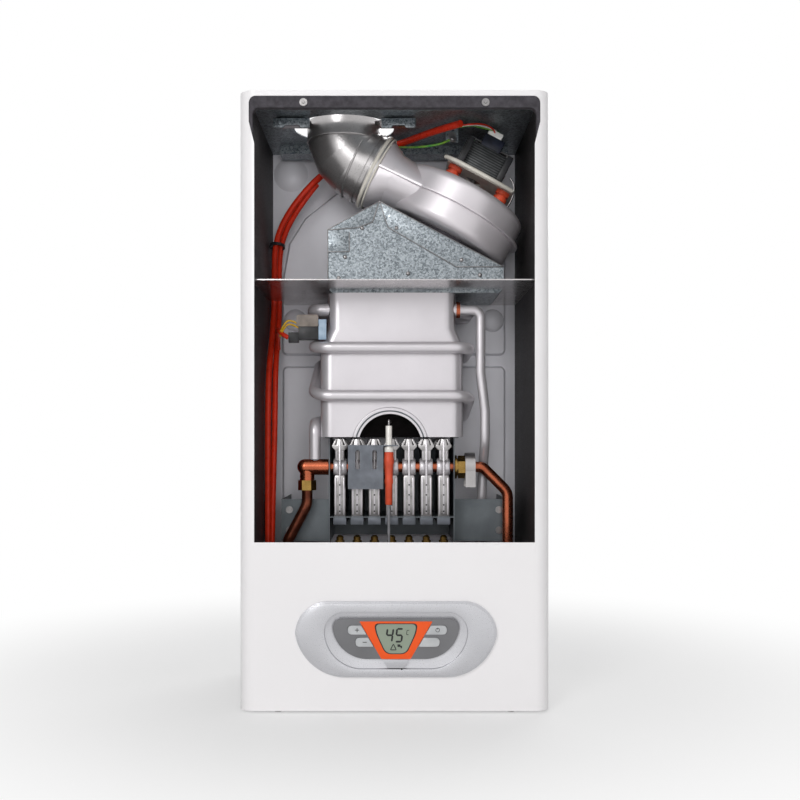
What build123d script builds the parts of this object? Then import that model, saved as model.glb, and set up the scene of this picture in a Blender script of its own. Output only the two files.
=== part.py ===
from build123d import *
import math
import os

# A wall-hung gas water heater with a sealed chamber, a fan and a viewing window cut in its cover.
# Frame: +Z up, the front faces -Y, the wall is the plane y = 0, the origin is the middle of the back.

# Casing
casing_width = 320.0
casing_height = 637.0
casing_depth = 224.0
sheet = 1.0
cover_edge_radius = 16.0
cover_stand_off = 12.0
cover_lip = 14.0
slip = 0.3
rear_flange = 14.0
emboss_rise = 6.0
dome_radius = 21.0
dome_rise = 7.0
hang_hole_radius = 4.0
hang_hole_half_span = 90.0
hang_hole_z = 300.0

# Window in the front cover
window_half_width = 144.0
window_top_half_width = 149.8
window_top = 312.8
window_bottom = -145.6
window_wide_to = 287.0
window_narrow_from = 264.0
window_corner = 7.0

# Chamber lining
wall_inset = 10.0
ceiling_z = 311.0
floor_z = -309.0
gasket_depth = 8.0
gasket_band = 10.0
gasket_top_band = 15.0
front_flange = 10.0
rail_depth = 30.0
rail_height = 10.0
rail_stand_off = 14.0
screw_radius = 2.0
screw_head_radius = 4.0
screw_head = 1.6

# Flue
flue_x = -56.5
flue_y = -110.0
flue_radius = 40.0
flue_wall = 0.8
flue_socket_clearance = 0.2
flue_top_z = 317.0
elbow_bend_radius = 40.6
elbow_gores = 3
air_ring_radius = 56.0
band_width = 8.0
band_thickness = 2.5
bead_width = 3.0
bead_rise = 1.6

# Fan, tilted so that its outlet looks up and to the left
fan_tilt = 28.0
fan_x = 69.0
fan_y = -98.0
fan_below_ceiling = 97.1
fan_z = ceiling_z - fan_below_ceiling
volute_radius = 74.0
volute_half = 28.0
volute_wall = 1.0
volute_fillet = 9.0
fan_flange = 6.0
outlet_reach = 102.0
fan_inlet_radius = 31.0
seal_thickness = 4.4
impeller_radius = 60.0
impeller_inner = 42.0
impeller_half = 20.0
impeller_blades = 22
shaft_radius = 3.0
bearing_clearance = 0.05
damper_boss = 6.0
damper_height = 12.0
damper_radius = 8.0
bracket_plate = 1.6
stator_gap = 4.0
stator_height = 30.0
stator_width = 56.0
stator_half = 24.0
rotor_radius = 16.5
rotor_air_gap = 0.5
bridge_height = 8.0
cooling_disc_radius = 12.0

# Fume hood, heat exchanger and their shelf
exchanger_x = -2.8
exchanger_front = -144.0
exchanger_deep = 110.0
exchanger_top = 121.6
jacket_wall = 0.8
jacket_upper_half = 70.7
jacket_lower_half = 79.0
jacket_shoulder_top = 82.0
jacket_shoulder_low = 64.0
jacket_bottom = -37.2
jacket_corner = 13.0
hood_left = -73.2
hood_apex_x = -16.5
hood_right = 120.4
hood_left_eave = fan_z - 22.9
hood_chamfer = 5.0
arch_x = -4.7
arch_z = -46.6
arch_inner = 34.9
arch_outer = 41.2
arch_rim = 2.5
shelf_z = 125.0
shelf_thickness = 1.2
core_z = 104.0
core_tube_radius = 7.0
core_tube_pitch = 21.0
core_tubes = 5
fin_pitch = 4.6
fin_thickness = 0.5
coil_radius = 6.4
coil_gap = 0.3
coil_bend = 20.0
coil_low_z = -22.0
coil_mid_z = 8.0
coil_high_z = 60.8
pipe_wall = 1.0

# Burner
burner_half = 68.3
burner_top = -47.0
burner_bottom = -153.0
burner_front = -142.0
burner_deep = 100.0
blade_count = 7
blade_width = 12.6
blade_wall = 0.7
blade_tip_width = 5.0
blade_tip = 10.0
blade_top = -39.0
blade_foot = -125.0
collar_height = 6.0
collar_width = 15.0
bypass_radius = 6.0
bypass_z = -70.5
bypass_y = -128.0
header_radius = 8.8
header_length = 35.0
nozzle_radius = 4.0
nozzle_height = 9.0
nozzle_top = -146.5
manifold_height = 16.0

# Controls on the front
panel_x = 1.5
panel_proud = 6.0
bezel_half, bezel_top_half, bezel_bottom_half = 103.2, 70.5, 51.8
bezel_top, bezel_waist, bezel_bottom = -205.6, -238.4, -283.1
well_half, well_top_half, well_bottom_half = 73.4, 56.0, 38.0
well_top, well_waist, well_bottom = -216.3, -238.4, -274.4
plate_half, plate_top_half, plate_bottom_half = 64.4, 58.0, 30.0
plate_top, plate_waist, plate_bottom = -223.4, -234.0, -264.1
cover_hole_margin = 16.0
bezel_floor = 1.5
bezel_bevel = 2.0
plate_front_step = 1.0
mask_thickness = 0.6
mask_top_half, mask_bottom_half = 37.3, 14.9
mask_top, mask_bottom = -225.7, -264.1
screen_top_half, screen_bottom_half = 22.0, 9.5
screen_top, screen_bottom = -229.0, -258.8
button_travel = 1.0
button_gap = 0.25
button_proud = 1.4
button_lip = 1.0
button_width = 22.0
button_height = 9.2
button_round = 3.8
box_half_width = 74.0
box_top = -203.0
box_bottom = -292.0
box_depth = 32.0
box_wall = 2.0
board_thickness = 1.6
board_set_back = 6.0

# Water and gas connections at the bottom
nipple_radius = 10.48
nipple_bore = 7.5
nipple_end_z = -317.5
thread_length = 6.8
neck_relief = 0.9
cold_from_wall = 38.0
hot_from_wall = 58.0
gas_x = -10.0
connection_y = -90.0

half_w = casing_width / 2
half_h = casing_height / 2
front_y = -casing_depth
board_y = front_y + board_set_back
wall_x = half_w - wall_inset
cold_x = cold_from_wall - wall_x
hot_x = wall_x - hot_from_wall
lining_front = front_y + sheet + gasket_depth
tilt_c = math.cos(math.radians(fan_tilt))
tilt_s = math.sin(math.radians(fan_tilt))
fan_plane = Plane(origin=(fan_x, fan_y, fan_z), x_dir=(tilt_c, 0, -tilt_s), z_dir=(tilt_s, 0, tilt_c))
outlet_v = flue_y - fan_y
roof_n = volute_half + seal_thickness
elbow_turn = 90.0 - fan_tilt
elbow_tangent = elbow_bend_radius * math.tan(math.radians(elbow_turn / 2))
corner_reach = (fan_x - flue_x) / tilt_c
corner_z = fan_z + corner_reach * tilt_s
collar_z = corner_z + elbow_tangent
exchanger_back = exchanger_front + exchanger_deep
exchanger_y = (exchanger_front + exchanger_back) / 2


def block(x0, x1, y0, y1, z0, z1):
    return Pos((x0 + x1) / 2, (y0 + y1) / 2, (z0 + z1) / 2) * Box(abs(x1 - x0), abs(y1 - y0), abs(z1 - z0))


def rod(start, direction, radius, length):
    base = Plane(origin=start, z_dir=direction)
    return base * Cylinder(radius, length, align=(Align.CENTER, Align.CENTER, Align.MIN))


def ring(start, direction, outer, inner, length):
    base = Plane(origin=start, z_dir=direction)
    return extrude(base * (Circle(outer) - Circle(inner)), length)


def hexagon(start, direction, flats, length, bore=0.0):
    base = Plane(origin=start, z_dir=direction)
    face = RegularPolygon(flats / math.sqrt(3), 6)
    if bore:
        face -= Circle(bore)
    return extrude(base * face, length)


def slab(sketch, y_back, y_front):
    # a sketch as seen from the front, X right and Z up, given thickness from y_back forward to y_front
    return extrude(Plane.XZ.offset(-y_back) * sketch, y_back - y_front)


def outline(*points):
    return make_face(Polyline(*points, close=True))


def pipe(points, bends, radius, bore=0.0):
    path = FilletPolyline(*points, radius=bends) if len(points) > 2 else Line(*points)
    face = Circle(radius) - Circle(bore) if bore else Circle(radius)
    return sweep(Plane(origin=path @ 0, z_dir=path % 0) * face, path=path)


def eased(points, tightest=1000.0):
    # bend radii as large as each pair of neighbouring runs allows
    radii = []
    for i in range(1, len(points) - 1):
        back = Vector(*points[i]) - Vector(*points[i - 1])
        ahead = Vector(*points[i + 1]) - Vector(*points[i])
        turn = math.radians(back.get_angle(ahead))
        reach = 0.45 * min(back.length, ahead.length)
        radii.append(min(tightest, reach / math.tan(turn / 2)))
    return radii


def in_fan(part):
    return fan_plane * part


def fan_point(u, v, n):
    return (fan_x + u * tilt_c + n * tilt_s, fan_y + v, fan_z - u * tilt_s + n * tilt_c)


# Casing
def cover_solid(inset, back_y):
    front = front_y + inset
    plan = Pos(0, (front + back_y) / 2) * Rectangle(casing_width - 2 * inset, back_y - front)
    plan = fillet(plan.vertices().sort_by(Axis.Y)[:2], cover_edge_radius - inset)
    height = casing_height - 2 * inset
    return Pos(0, 0, -height / 2) * extrude(plan, height)


def window_outline():
    face = outline((-window_half_width, window_bottom), (window_half_width, window_bottom),
                   (window_half_width, window_narrow_from), (window_top_half_width, window_wide_to),
                   (window_top_half_width, window_top), (-window_top_half_width, window_top),
                   (-window_top_half_width, window_wide_to), (-window_half_width, window_narrow_from))
    return fillet(face.vertices().sort_by(Axis.Y)[-2:], window_corner)


def front_cover():
    cover = cover_solid(0, -cover_stand_off) - cover_solid(sheet, 0)
    reach = half_w - cover_lip
    cover -= block(-reach, reach, front_y + cover_lip, 0, -half_h - 1, half_h + 1)
    cover -= slab(window_outline(), front_y + 5, front_y - 5)
    cover -= slab(offset(bezel_outline(), -cover_hole_margin), front_y + 5, front_y - 5)
    for x in (-foot_screw_x, foot_screw_x):
        cover -= rod((x, front_y + cover_lip / 2, -half_h - 1), (0, 0, 1), screw_radius + slip, 5)
    return cover


foot_screw_x = 120.0


def raised(sketch, rise):
    outer = extrude(Plane.XZ.offset(0) * sketch, sheet + rise, taper=25)
    inner = extrude(Plane.XZ.offset(0) * offset(sketch, -1.2 * sheet), rise, taper=25)
    return outer, inner


def dome(x, z, radius, rise, base_y):
    ball = (radius ** 2 + rise ** 2) / (2 * rise)
    centre = Pos(x, base_y + ball - rise, z)
    space = block(x - 90, x + 90, base_y - 60, base_y + sheet / 2, z - 90, z + 90)
    return (centre * Sphere(ball)) & space, (centre * Sphere(ball - sheet)) & block(
        x - 90, x + 90, base_y - 60, base_y + sheet + 1, z - 90, z + 90)


def rear_panel():
    outer_x = half_w - sheet - slip
    outer_z = half_h - sheet - slip
    panel = block(-outer_x, outer_x, -rear_flange, 0, -outer_z, outer_z)
    panel -= block(-outer_x + sheet, outer_x - sheet, -rear_flange - 1, -sheet, -outer_z + sheet, outer_z - sheet)
    upper = outline((138, 62.6), (138, 275), (-46, 275), (-72.4, 262.8), (-110, 233), (-130, 201.4),
                    (-138.7, 152.3), (-138.7, 62.6))
    upper = fillet(upper.vertices().group_by(Axis.Y)[0], 8)
    left = outline((-138, 51), (-30, 51), (-30, -140), (-138, -140))
    left = fillet(left.vertices(), 8)
    right = outline((138, 51), (30, 51), (30, -140), (138, -140))
    right = fillet(right.vertices(), 8)
    forms = [raised(upper, emboss_rise), raised(left, emboss_rise), raised(right, emboss_rise)]
    forms.append(dome(-127.0, 286.5, dome_radius, dome_rise, -sheet))
    for outer, inner in forms:
        panel += outer
    for outer, inner in forms:
        panel -= inner
    for x in (-hang_hole_half_span, hang_hole_half_span):
        panel -= rod((x, 1, hang_hole_z), (0, -1, 0), hang_hole_radius, sheet + 2)
    return panel


def side_wall(side):
    face = side * wall_x
    wall = block(face, face - side * sheet, lining_front, -sheet, floor_z, ceiling_z)
    wall += block(face - side * sheet, face + side * (wall_inset - 3), lining_front, lining_front + sheet,
                  floor_z, ceiling_z)
    return wall


def top_plate():
    reach = half_w - 3
    plate = block(-reach, reach, lining_front, -sheet, ceiling_z, ceiling_z + sheet)
    plate += block(-wall_x + sheet, wall_x - sheet, lining_front, lining_front + sheet,
                   ceiling_z - front_flange, ceiling_z)
    plate -= rod((flue_x, flue_y, ceiling_z - 1), (0, 0, 1), air_ring_radius, sheet + 2)
    return plate


def bottom_plate():
    reach = half_w - 3
    plate = block(-reach, reach, lining_front, -sheet, floor_z - sheet, floor_z)
    for x in (cold_x, hot_x, gas_x):
        plate -= rod((x, connection_y, floor_z - 5), (0, 0, 1), nipple_radius + slip, 10)
    plate += block(-reach, reach, lining_front, lining_front + sheet, -half_h + sheet, floor_z)
    for x in (-foot_screw_x, foot_screw_x):
        plate += block(x - 8, x + 8, front_y + sheet + 2, lining_front, -half_h + sheet, -half_h + 2 * sheet)
        plate -= rod((x, front_y + cover_lip / 2, -half_h - 1), (0, 0, 1), screw_radius, 5)
    return plate


def foot_screws():
    screws = []
    for x in (-foot_screw_x, foot_screw_x):
        head = rod((x, front_y + cover_lip / 2, -half_h), (0, 0, -1), screw_head_radius, screw_head)
        screws.append(head + rod((x, front_y + cover_lip / 2, -half_h), (0, 0, 1), screw_radius, 2 * sheet))
    return Compound(screws)


def chamber_gasket():
    top = ceiling_z + 5
    out = wall_x + wall_inset - 4
    inner = out - gasket_band
    low = window_bottom - 4
    frame = block(-out, out, front_y + sheet, lining_front, low - gasket_band, top)
    hollow = Pos(0, (low + top - gasket_top_band) / 2) * RectangleRounded(
        2 * inner, top - gasket_top_band - low, window_corner)
    frame -= slab(hollow, front_y + 20, front_y - 5)
    frame &= cover_solid(sheet, 0)
    for x in (-gasket_screw_x, gasket_screw_x):
        frame -= rod((x, front_y, gasket_screw_z), (0, 1, 0), screw_radius, gasket_depth + 2)
    return frame


gasket_screw_x = 93.5
gasket_screw_z = ceiling_z - front_flange / 2


def gasket_screws():
    screws = []
    for x in (-gasket_screw_x, gasket_screw_x):
        head = ring((x, front_y + sheet, gasket_screw_z), (0, -1, 0), screw_head_radius, 1.6, screw_head)
        disc = rod((x, front_y + sheet, gasket_screw_z), (0, -1, 0), 2.4, screw_head / 2)
        screws.append(head + disc + rod((x, front_y + sheet, gasket_screw_z), (0, 1, 0), screw_radius,
                                        gasket_depth))
    return Compound(screws)


def ceiling_rail():
    back = -rail_stand_off
    rail = block(-wall_x + 14, wall_x - 14, back - rail_depth, back, ceiling_z - rail_height, ceiling_z)
    rail -= block(-wall_x + 13, wall_x - 13, back - rail_depth + sheet, back - sheet, ceiling_z - rail_height + sheet,
                  ceiling_z + 1)
    return rail


# Flue
def flue_collar():
    outer = flue_radius + flue_socket_clearance + flue_wall
    collar = ring((flue_x, flue_y, collar_z + flue_wall), (0, 0, 1), outer, outer - flue_wall,
                  flue_top_z - collar_z - flue_wall)
    collar += ring((flue_x, flue_y, collar_z), (0, 0, 1), outer, flue_radius - flue_wall, flue_wall)
    return collar


def elbow_points():
    points = [(flue_x, flue_y, collar_z)]
    step = elbow_turn / elbow_gores
    reach = elbow_bend_radius / math.cos(math.radians(step / 2))
    for i in range(elbow_gores):
        a = math.radians((i + 0.5) * step)
        points.append((flue_x + elbow_bend_radius - reach * math.cos(a), flue_y, collar_z - reach * math.sin(a)))
    points.append(fan_point(-outlet_reach, outlet_v, 0))
    return points


def flue_elbow():
    path = Polyline(*elbow_points())
    face = Plane(origin=path @ 0, z_dir=(0, 0, -1)) * (Circle(flue_radius) - Circle(flue_radius - flue_wall))
    elbow = sweep(face, path=path, transition=Transition.RIGHT)
    bead = ring(fan_point(-outlet_reach - band_width - 4, outlet_v, 0), (tilt_c, 0, -tilt_s),
                flue_radius + bead_rise, flue_radius - flue_wall / 2, bead_width)
    return elbow + bead


def fan_outlet_band():
    start = fan_point(-outlet_reach - band_width / 2, outlet_v, 0)
    band = ring(start, (tilt_c, 0, -tilt_s), flue_radius + band_thickness, flue_radius, band_width)
    return fillet(band.edges().filter_by(GeomType.CIRCLE).sort_by(lambda e: e.length)[-2:], 1.2)


def flue_clips():
    outer = flue_radius + flue_socket_clearance + flue_wall
    clips = []
    for side in (-1, 1):
        x0 = flue_x + side * (outer - 6)
        x1 = flue_x + side * (air_ring_radius + 20)
        tab = block(min(x0, x1), max(x0, x1), flue_y - 36, flue_y - 8, ceiling_z - 1.2, ceiling_z)
        tab -= rod((flue_x, flue_y, ceiling_z - 5), (0, 0, 1), outer, 10)
        clips.append(tab)
    return Compound(clips)


# Fan, drawn in its own tilted frame
def volute_solid(inset):
    body = Cylinder(volute_radius - inset, 2 * (volute_half - inset))
    body = fillet(body.edges().filter_by(GeomType.CIRCLE), volute_fillet - inset)
    across = dict(x_dir=(0, 1, 0), z_dir=(1, 0, 0))
    stub = band_width / 2 + 1
    throat = loft([
        Plane(origin=(-outlet_reach + stub, outlet_v, 0), **across) * Circle(flue_radius - inset),
        Plane(origin=(-outlet_reach + 22, outlet_v + 1, 0), **across) * Ellipse(46 - inset, volute_half + 3 - inset),
        Plane(origin=(-46, outlet_v + 4, 0), **across) * Ellipse(50 - inset, volute_half - inset),
    ], ruled=True)
    spout = rod((-outlet_reach, outlet_v, 0), (1, 0, 0), flue_radius - inset, stub)
    return body + throat + spout


def volute_shell():
    shell = volute_solid(0)
    flange = Cylinder(volute_radius + fan_flange, 2 * sheet)
    neck = Polygon((-outlet_reach + band_width / 2 + 1, outlet_v - flue_radius - 5),
                   (-35, outlet_v - 56), (-35, outlet_v + 60),
                   (-outlet_reach + band_width / 2 + 1, outlet_v + flue_radius + 5), align=None)
    flange += Pos(0, 0, -sheet) * extrude(neck, 2 * sheet)
    shell += flange
    shell -= volute_solid(volute_wall)
    return shell


def fan_housing_lower():
    half = volute_shell() & Pos(0, 0, -100) * Box(400, 400, 200)
    half -= Pos(0, 0, -volute_half) * Cylinder(fan_inlet_radius, 8)
    return in_fan(half)


def damper_spots():
    return [(-24.0, -22.0), (36.0, -22.0), (6.0, 34.0)]


def fan_housing_upper():
    half = volute_shell() & Pos(0, 0, 100) * Box(400, 400, 200)
    half -= Pos(0, 0, volute_half) * Cylinder(9, 8)
    for u, v in damper_spots():
        half += Pos(u, v, volute_half + damper_boss / 2) * Cylinder(damper_radius - 2, damper_boss)
    return in_fan(half)


def fan_inlet_seal():
    seal = Pos(0, 0, -roof_n) * extrude(Circle(fan_inlet_radius + 12) - Circle(fan_inlet_radius + 2), seal_thickness)
    return in_fan(seal)


def fan_impeller():
    wheel = Pos(0, 0, impeller_half - 1.2) * extrude(Circle(impeller_radius), 1.2)
    wheel += Pos(0, 0, -impeller_half) * extrude(Circle(impeller_radius) - Circle(impeller_inner), 1.2)
    vane = Pos(0, 0, -impeller_half + 0.6) * extrude(
        Pos((impeller_radius + impeller_inner) / 2 - 0.5, 0) * Rot(0, 0, 35) * Rectangle(
            impeller_radius - impeller_inner - 1, 1.0), 2 * impeller_half - 1.2)
    for i in range(impeller_blades):
        wheel += Rot(0, 0, i * 360.0 / impeller_blades) * vane
    wheel += Pos(0, 0, impeller_half - 14) * extrude(Circle(8), 14)
    wheel -= Pos(0, 0, -impeller_half) * Cylinder(shaft_radius, 200)
    return in_fan(wheel)


bracket_n = volute_half + damper_boss + damper_height
stator_n = bracket_n + bracket_plate + stator_gap
bridge_n = stator_n + stator_height
disc_n = bridge_n + bridge_height + 5.0


def motor_shaft():
    shaft = Pos(0, 0, impeller_half - 14) * extrude(Circle(shaft_radius), disc_n + 8 - impeller_half + 14)
    shaft += Pos(0, 0, stator_n) * extrude(Circle(rotor_radius), stator_height)
    return in_fan(shaft)


def cooling_disc():
    disc = Pos(0, 0, disc_n) * extrude(Circle(cooling_disc_radius), 1.2)
    disc += Pos(0, 0, disc_n) * extrude(Circle(shaft_radius + 2), 6)
    for i in range(8):
        disc += Rot(0, 0, i * 45) * Pos(cooling_disc_radius * 0.68, 0, disc_n + 3) * Box(
            cooling_disc_radius * 0.6, 0.9, 6)
    disc -= Pos(0, 0, disc_n) * Cylinder(shaft_radius, 60)
    return in_fan(disc)


def motor_stator():
    half = stator_width / 2
    block_part = Pos(0, 0, stator_n) * extrude(Rectangle(stator_width, 2 * stator_half), stator_height)
    for side in (-1, 1):
        block_part += Pos(side * (half - 5), stator_half + 5, stator_n + stator_height / 2) * Box(10, 10, 20)
    block_part += Pos(0, stator_half + 15, stator_n + stator_height / 2) * Box(stator_width, 10, 20)
    block_part -= Pos(0, 0, stator_n - 1) * extrude(Circle(rotor_radius + rotor_air_gap), stator_height + 2)
    return in_fan(block_part)


def motor_coil():
    coil = Pos(0, stator_half + 15, stator_n + stator_height / 2) * Box(34, 18, stator_height - 2)
    coil -= Pos(0, stator_half + 15, stator_n + stator_height / 2) * Box(40, 10, 20)
    return in_fan(coil)


def motor_bridges():
    bore = shaft_radius + bearing_clearance
    parts = []
    for start, grow in ((bracket_n + bracket_plate, stator_gap), (bridge_n, bridge_height)):
        plate_n = start if grow == stator_gap else start + grow - 1.6
        bar = Pos(0, 0, plate_n) * extrude(Rectangle(stator_width - 4, 16), 1.6)
        for side in (-1, 1):
            bar += Pos(side * (stator_width / 2 - 5), 0, start + grow / 2) * Box(6, 16, grow)
        hub_n = start if grow == stator_gap else start + 1.5
        bar += Pos(0, 0, hub_n) * extrude(Circle(8), grow - 1.5)
        bar -= Pos(0, 0, start) * Cylinder(bore, 60)
        parts.append(in_fan(bar))
    return Compound(parts)


def fan_bracket():
    plate = Pos(6, 3, bracket_n) * extrude(RectangleRounded(82, 76, 10), bracket_plate)
    plate -= Pos(0, 0, bracket_n) * Cylinder(10, 20)
    return in_fan(plate)


def fan_dampers():
    pads = []
    for u, v in damper_spots():
        low = volute_half + damper_boss
        pad = Pos(u, v, low) * extrude(Circle(damper_radius), damper_height)
        pad -= Pos(u, v, low + damper_height * 0.38) * extrude(
            Circle(damper_radius + 1) - Circle(damper_radius - 2), damper_height * 0.24)
        pads.append(in_fan(pad))
    return Compound(pads)


def motor_terminal():
    base = Pos(0, -stator_half + 5, bridge_n) * Box(24, 10, 14, align=(Align.CENTER, Align.CENTER, Align.MIN))
    return in_fan(base)


def motor_connector():
    plug = Pos(-2, -stator_half + 5, bridge_n + 14) * Box(17, 9, 7, align=(Align.CENTER, Align.CENTER, Align.MIN))
    return in_fan(plug)


# Fume hood and heat exchanger
def roof_z(x):
    seat = fan_point(0, 0, -roof_n)
    return seat[2] - (x - seat[0]) * math.tan(math.radians(fan_tilt))


def hood_outline(inset):
    left = hood_left + inset
    right = hood_right - inset
    low = exchanger_top + inset
    drop = inset / tilt_c
    face = outline((left, low + hood_chamfer), (left, hood_left_eave - inset * 0.6),
                   (hood_apex_x, roof_z(hood_apex_x) - drop), (right, roof_z(right) - drop),
                   (right, low + hood_chamfer), (right - hood_chamfer, low), (left + hood_chamfer, low))
    return face


def fume_hood():
    hood = slab(hood_outline(0), exchanger_back, exchanger_front)
    hood -= slab(hood_outline(jacket_wall), exchanger_back - jacket_wall, exchanger_front + jacket_wall)
    hood -= jacket_plan(jacket_wall, jacket_upper_half, exchanger_top - 1, 3)
    hood -= in_fan(Pos(0, 0, -roof_n) * Cylinder(fan_inlet_radius, 8))
    return hood


def jacket_plan(inset, half, z0, height):
    plan = RectangleRounded(2 * (half - inset), exchanger_deep - 2 * inset, jacket_corner - inset)
    return Pos(exchanger_x, exchanger_y, z0) * extrude(plan, height)


def jacket_solid(inset):
    over = 1 if inset else 0
    low = jacket_plan(inset, jacket_lower_half, jacket_bottom - over, jacket_shoulder_low - jacket_bottom + over)
    high = jacket_plan(inset, jacket_upper_half, jacket_shoulder_top, exchanger_top - jacket_shoulder_top + over)
    rounds = [RectangleRounded(2 * (half - inset), exchanger_deep - 2 * inset, jacket_corner - inset)
              for half in (jacket_lower_half, jacket_upper_half)]
    middle = loft([Pos(exchanger_x, exchanger_y, jacket_shoulder_low) * rounds[0],
                   Pos(exchanger_x, exchanger_y, jacket_shoulder_top) * rounds[1]], ruled=True)
    return low + middle + high


def arch_disc(radius, y_back, y_front):
    disc = slab(Pos(arch_x, arch_z) * Circle(radius), y_back, y_front)
    return disc & block(-200, 200, y_front - 1, y_back + 1, jacket_bottom, 200)


def exchanger_jacket():
    jacket = jacket_solid(0) - jacket_solid(jacket_wall)
    mid = (arch_inner + arch_outer) / 2
    front = exchanger_front
    rim = arch_disc(arch_outer, front + jacket_wall, front - arch_rim)
    rim -= arch_disc(mid + 0.8, front - arch_rim / 2, front - arch_rim - 1) - arch_disc(
        mid - 0.8, front - arch_rim / 2, front - arch_rim - 1)
    jacket += rim
    jacket -= slab(Pos(arch_x, arch_z) * Circle(arch_inner), front + 5, front - 5)
    for y in core_ys():
        jacket -= rod((exchanger_x - 90, y, core_z), (1, 0, 0), core_tube_radius + 0.1, 180)
    return jacket


def core_ys():
    first = exchanger_y + core_tube_pitch * (core_tubes - 1) / 2
    return [first - i * core_tube_pitch for i in range(core_tubes)]


def exchanger_fins():
    fins = []
    space = jacket_upper_half - jacket_wall - 3
    count = int(2 * space / fin_pitch)
    start = exchanger_x - count * fin_pitch / 2
    low = core_z - 14
    for i in range(count + 1):
        x = start + i * fin_pitch
        fin = block(x - fin_thickness / 2, x + fin_thickness / 2, exchanger_front + jacket_corner / 2 - 1,
                    exchanger_back - jacket_corner / 2 + 1, low, low + 28)
        for y in core_ys():
            fin -= rod((x - 5, y, core_z), (1, 0, 0), core_tube_radius, 10)
        fins.append(fin)
    return Compound(fins)


def exchanger_tubes():
    reach = jacket_upper_half + 6
    left = exchanger_x - reach
    right = exchanger_x + reach
    ys = core_ys()
    bend = core_tube_pitch / 2
    edges = []
    for i, y in enumerate(ys):
        a, b = (left, right) if i % 2 == 0 else (right, left)
        edges.append(Line((a, y, core_z), (b, y, core_z)))
        if i + 1 < len(ys):
            out = b + bend if i % 2 == 0 else b - bend
            edges.append(ThreePointArc((b, y, core_z), (out, (y + ys[i + 1]) / 2, core_z), (b, ys[i + 1], core_z)))
    path = Wire(edges)
    face = Plane(origin=(left, ys[0], core_z), z_dir=(1, 0, 0)) * (
        Circle(core_tube_radius) - Circle(core_tube_radius - pipe_wall))
    return sweep(face, path=path)


coil_x = jacket_lower_half + coil_gap + coil_radius
coil_front = exchanger_front - coil_gap - coil_radius
coil_back = exchanger_back + coil_gap + coil_radius
coil_left = exchanger_x - coil_x
coil_right = exchanger_x + coil_x
header_top = bypass_z + header_radius


def coil_points():
    ys = core_ys()
    return [(coil_left, bypass_y, header_top), (coil_left, bypass_y, coil_low_z), (coil_left, coil_back, coil_low_z + 4),
            (coil_right, coil_back, coil_low_z + 8), (coil_right, coil_front, coil_mid_z),
            (coil_left, coil_front, coil_mid_z), (coil_left, coil_back, coil_high_z - 8),
            (coil_right, coil_back, coil_high_z - 4), (coil_right, coil_front, coil_high_z),
            (coil_left, coil_front, coil_high_z), (coil_left, ys[0], coil_high_z + 12),
            (coil_left, ys[0], core_z), (exchanger_x - jacket_upper_half - 6, ys[0], core_z)]


def exchanger_coil():
    points = coil_points()
    bends = [12.0] + [coil_bend] * 8 + [12.0, 8.0]
    return pipe(points, bends, coil_radius, coil_radius - pipe_wall)


def support_shelf():
    shelf = block(-wall_x + sheet, wall_x - sheet, lining_front + sheet, -sheet - emboss_rise, shelf_z,
                  shelf_z + shelf_thickness)
    shelf -= slab(offset(hood_outline(0), slip), exchanger_back + slip, exchanger_front - slip)
    shelf -= block(-wall_x - 1, -wall_x + 16, -46, 1, shelf_z - 1, shelf_z + 5)
    return shelf


# Burner
def blade_xs():
    pitch = 2 * (burner_half - 1) / blade_count
    first = exchanger_x - pitch * (blade_count - 1) / 2
    return [first + i * pitch for i in range(blade_count)]


def burner_blades():
    blades = []
    back = burner_front + burner_deep
    for x in blade_xs():
        w = blade_width / 2
        t = blade_tip_width / 2
        c = collar_width / 2
        profile = outline((x - w, blade_foot), (x - w, blade_top - blade_tip), (x - t, blade_top),
                          (x + t, blade_top), (x + w, blade_top - blade_tip), (x + w, blade_foot))
        blade = slab(profile, back - 2, burner_front + 2)
        blade -= slab(offset(profile, -blade_wall), back - 2 - blade_wall, burner_front + 2 + blade_wall)
        blade += block(x - c, x + c, burner_front + 1, back - 1, blade_foot, blade_foot + collar_height)
        blade -= rod((x - 30, bypass_y, bypass_z), (1, 0, 0), bypass_radius + slip, 60)
        blade -= rod((x, burner_front + 14, blade_foot - 1), (0, 0, 1), 4.5, 24)
        for j in range(9):
            y = burner_front + 12 + j * 9.5
            blade -= block(x - 1.2, x + 1.2, y - 2.4, y + 2.4, blade_top - 6, blade_top + 1)
        blades.append(blade)
    return Compound(blades)


def burner_side_plates():
    plates = []
    back = burner_front + burner_deep
    for side in (-1, 1):
        x0 = exchanger_x + side * burner_half
        x1 = x0 + side * sheet
        plate = block(min(x0, x1), max(x0, x1), burner_front, back, burner_bottom, burner_top)
        plate -= rod((x0 - 5, bypass_y, bypass_z), (1, 0, 0), bypass_radius + slip, 10)
        plates.append(plate)
    return Compound(plates)


def burner_frame():
    # floor and rear of the burner box, which carry the blades' feet and the side plates
    left = exchanger_x - burner_half
    right = exchanger_x + burner_half
    back = burner_front + burner_deep
    frame = block(left, right, burner_front, back, blade_foot - sheet, blade_foot)
    for x in blade_xs():
        frame -= rod((x, burner_front + 14, blade_foot - 3), (0, 0, 1), 5.5, 6)
    frame += block(left, right, back, back + sheet, burner_bottom, burner_top)
    frame += block(left, right, back - sheet, back + sheet, blade_foot - sheet, blade_foot)
    return frame


def burner_hangers():
    # two angle strips that hang the burner box below the heat exchanger jacket
    strips = []
    for side in (-1, 1):
        x0 = exchanger_x + side * (burner_half + sheet)
        x1 = exchanger_x + side * (jacket_lower_half - 4)
        upright = x0 + side * sheet
        strip = block(min(x0, x1), max(x0, x1), burner_front + 22, burner_front + 92, jacket_bottom - sheet, jacket_bottom)
        strip += block(min(x0, upright), max(x0, upright), burner_front + 22, burner_front + 92, burner_top - 12,
                       jacket_bottom)
        strips.append(strip)
    return Compound(strips)


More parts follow.
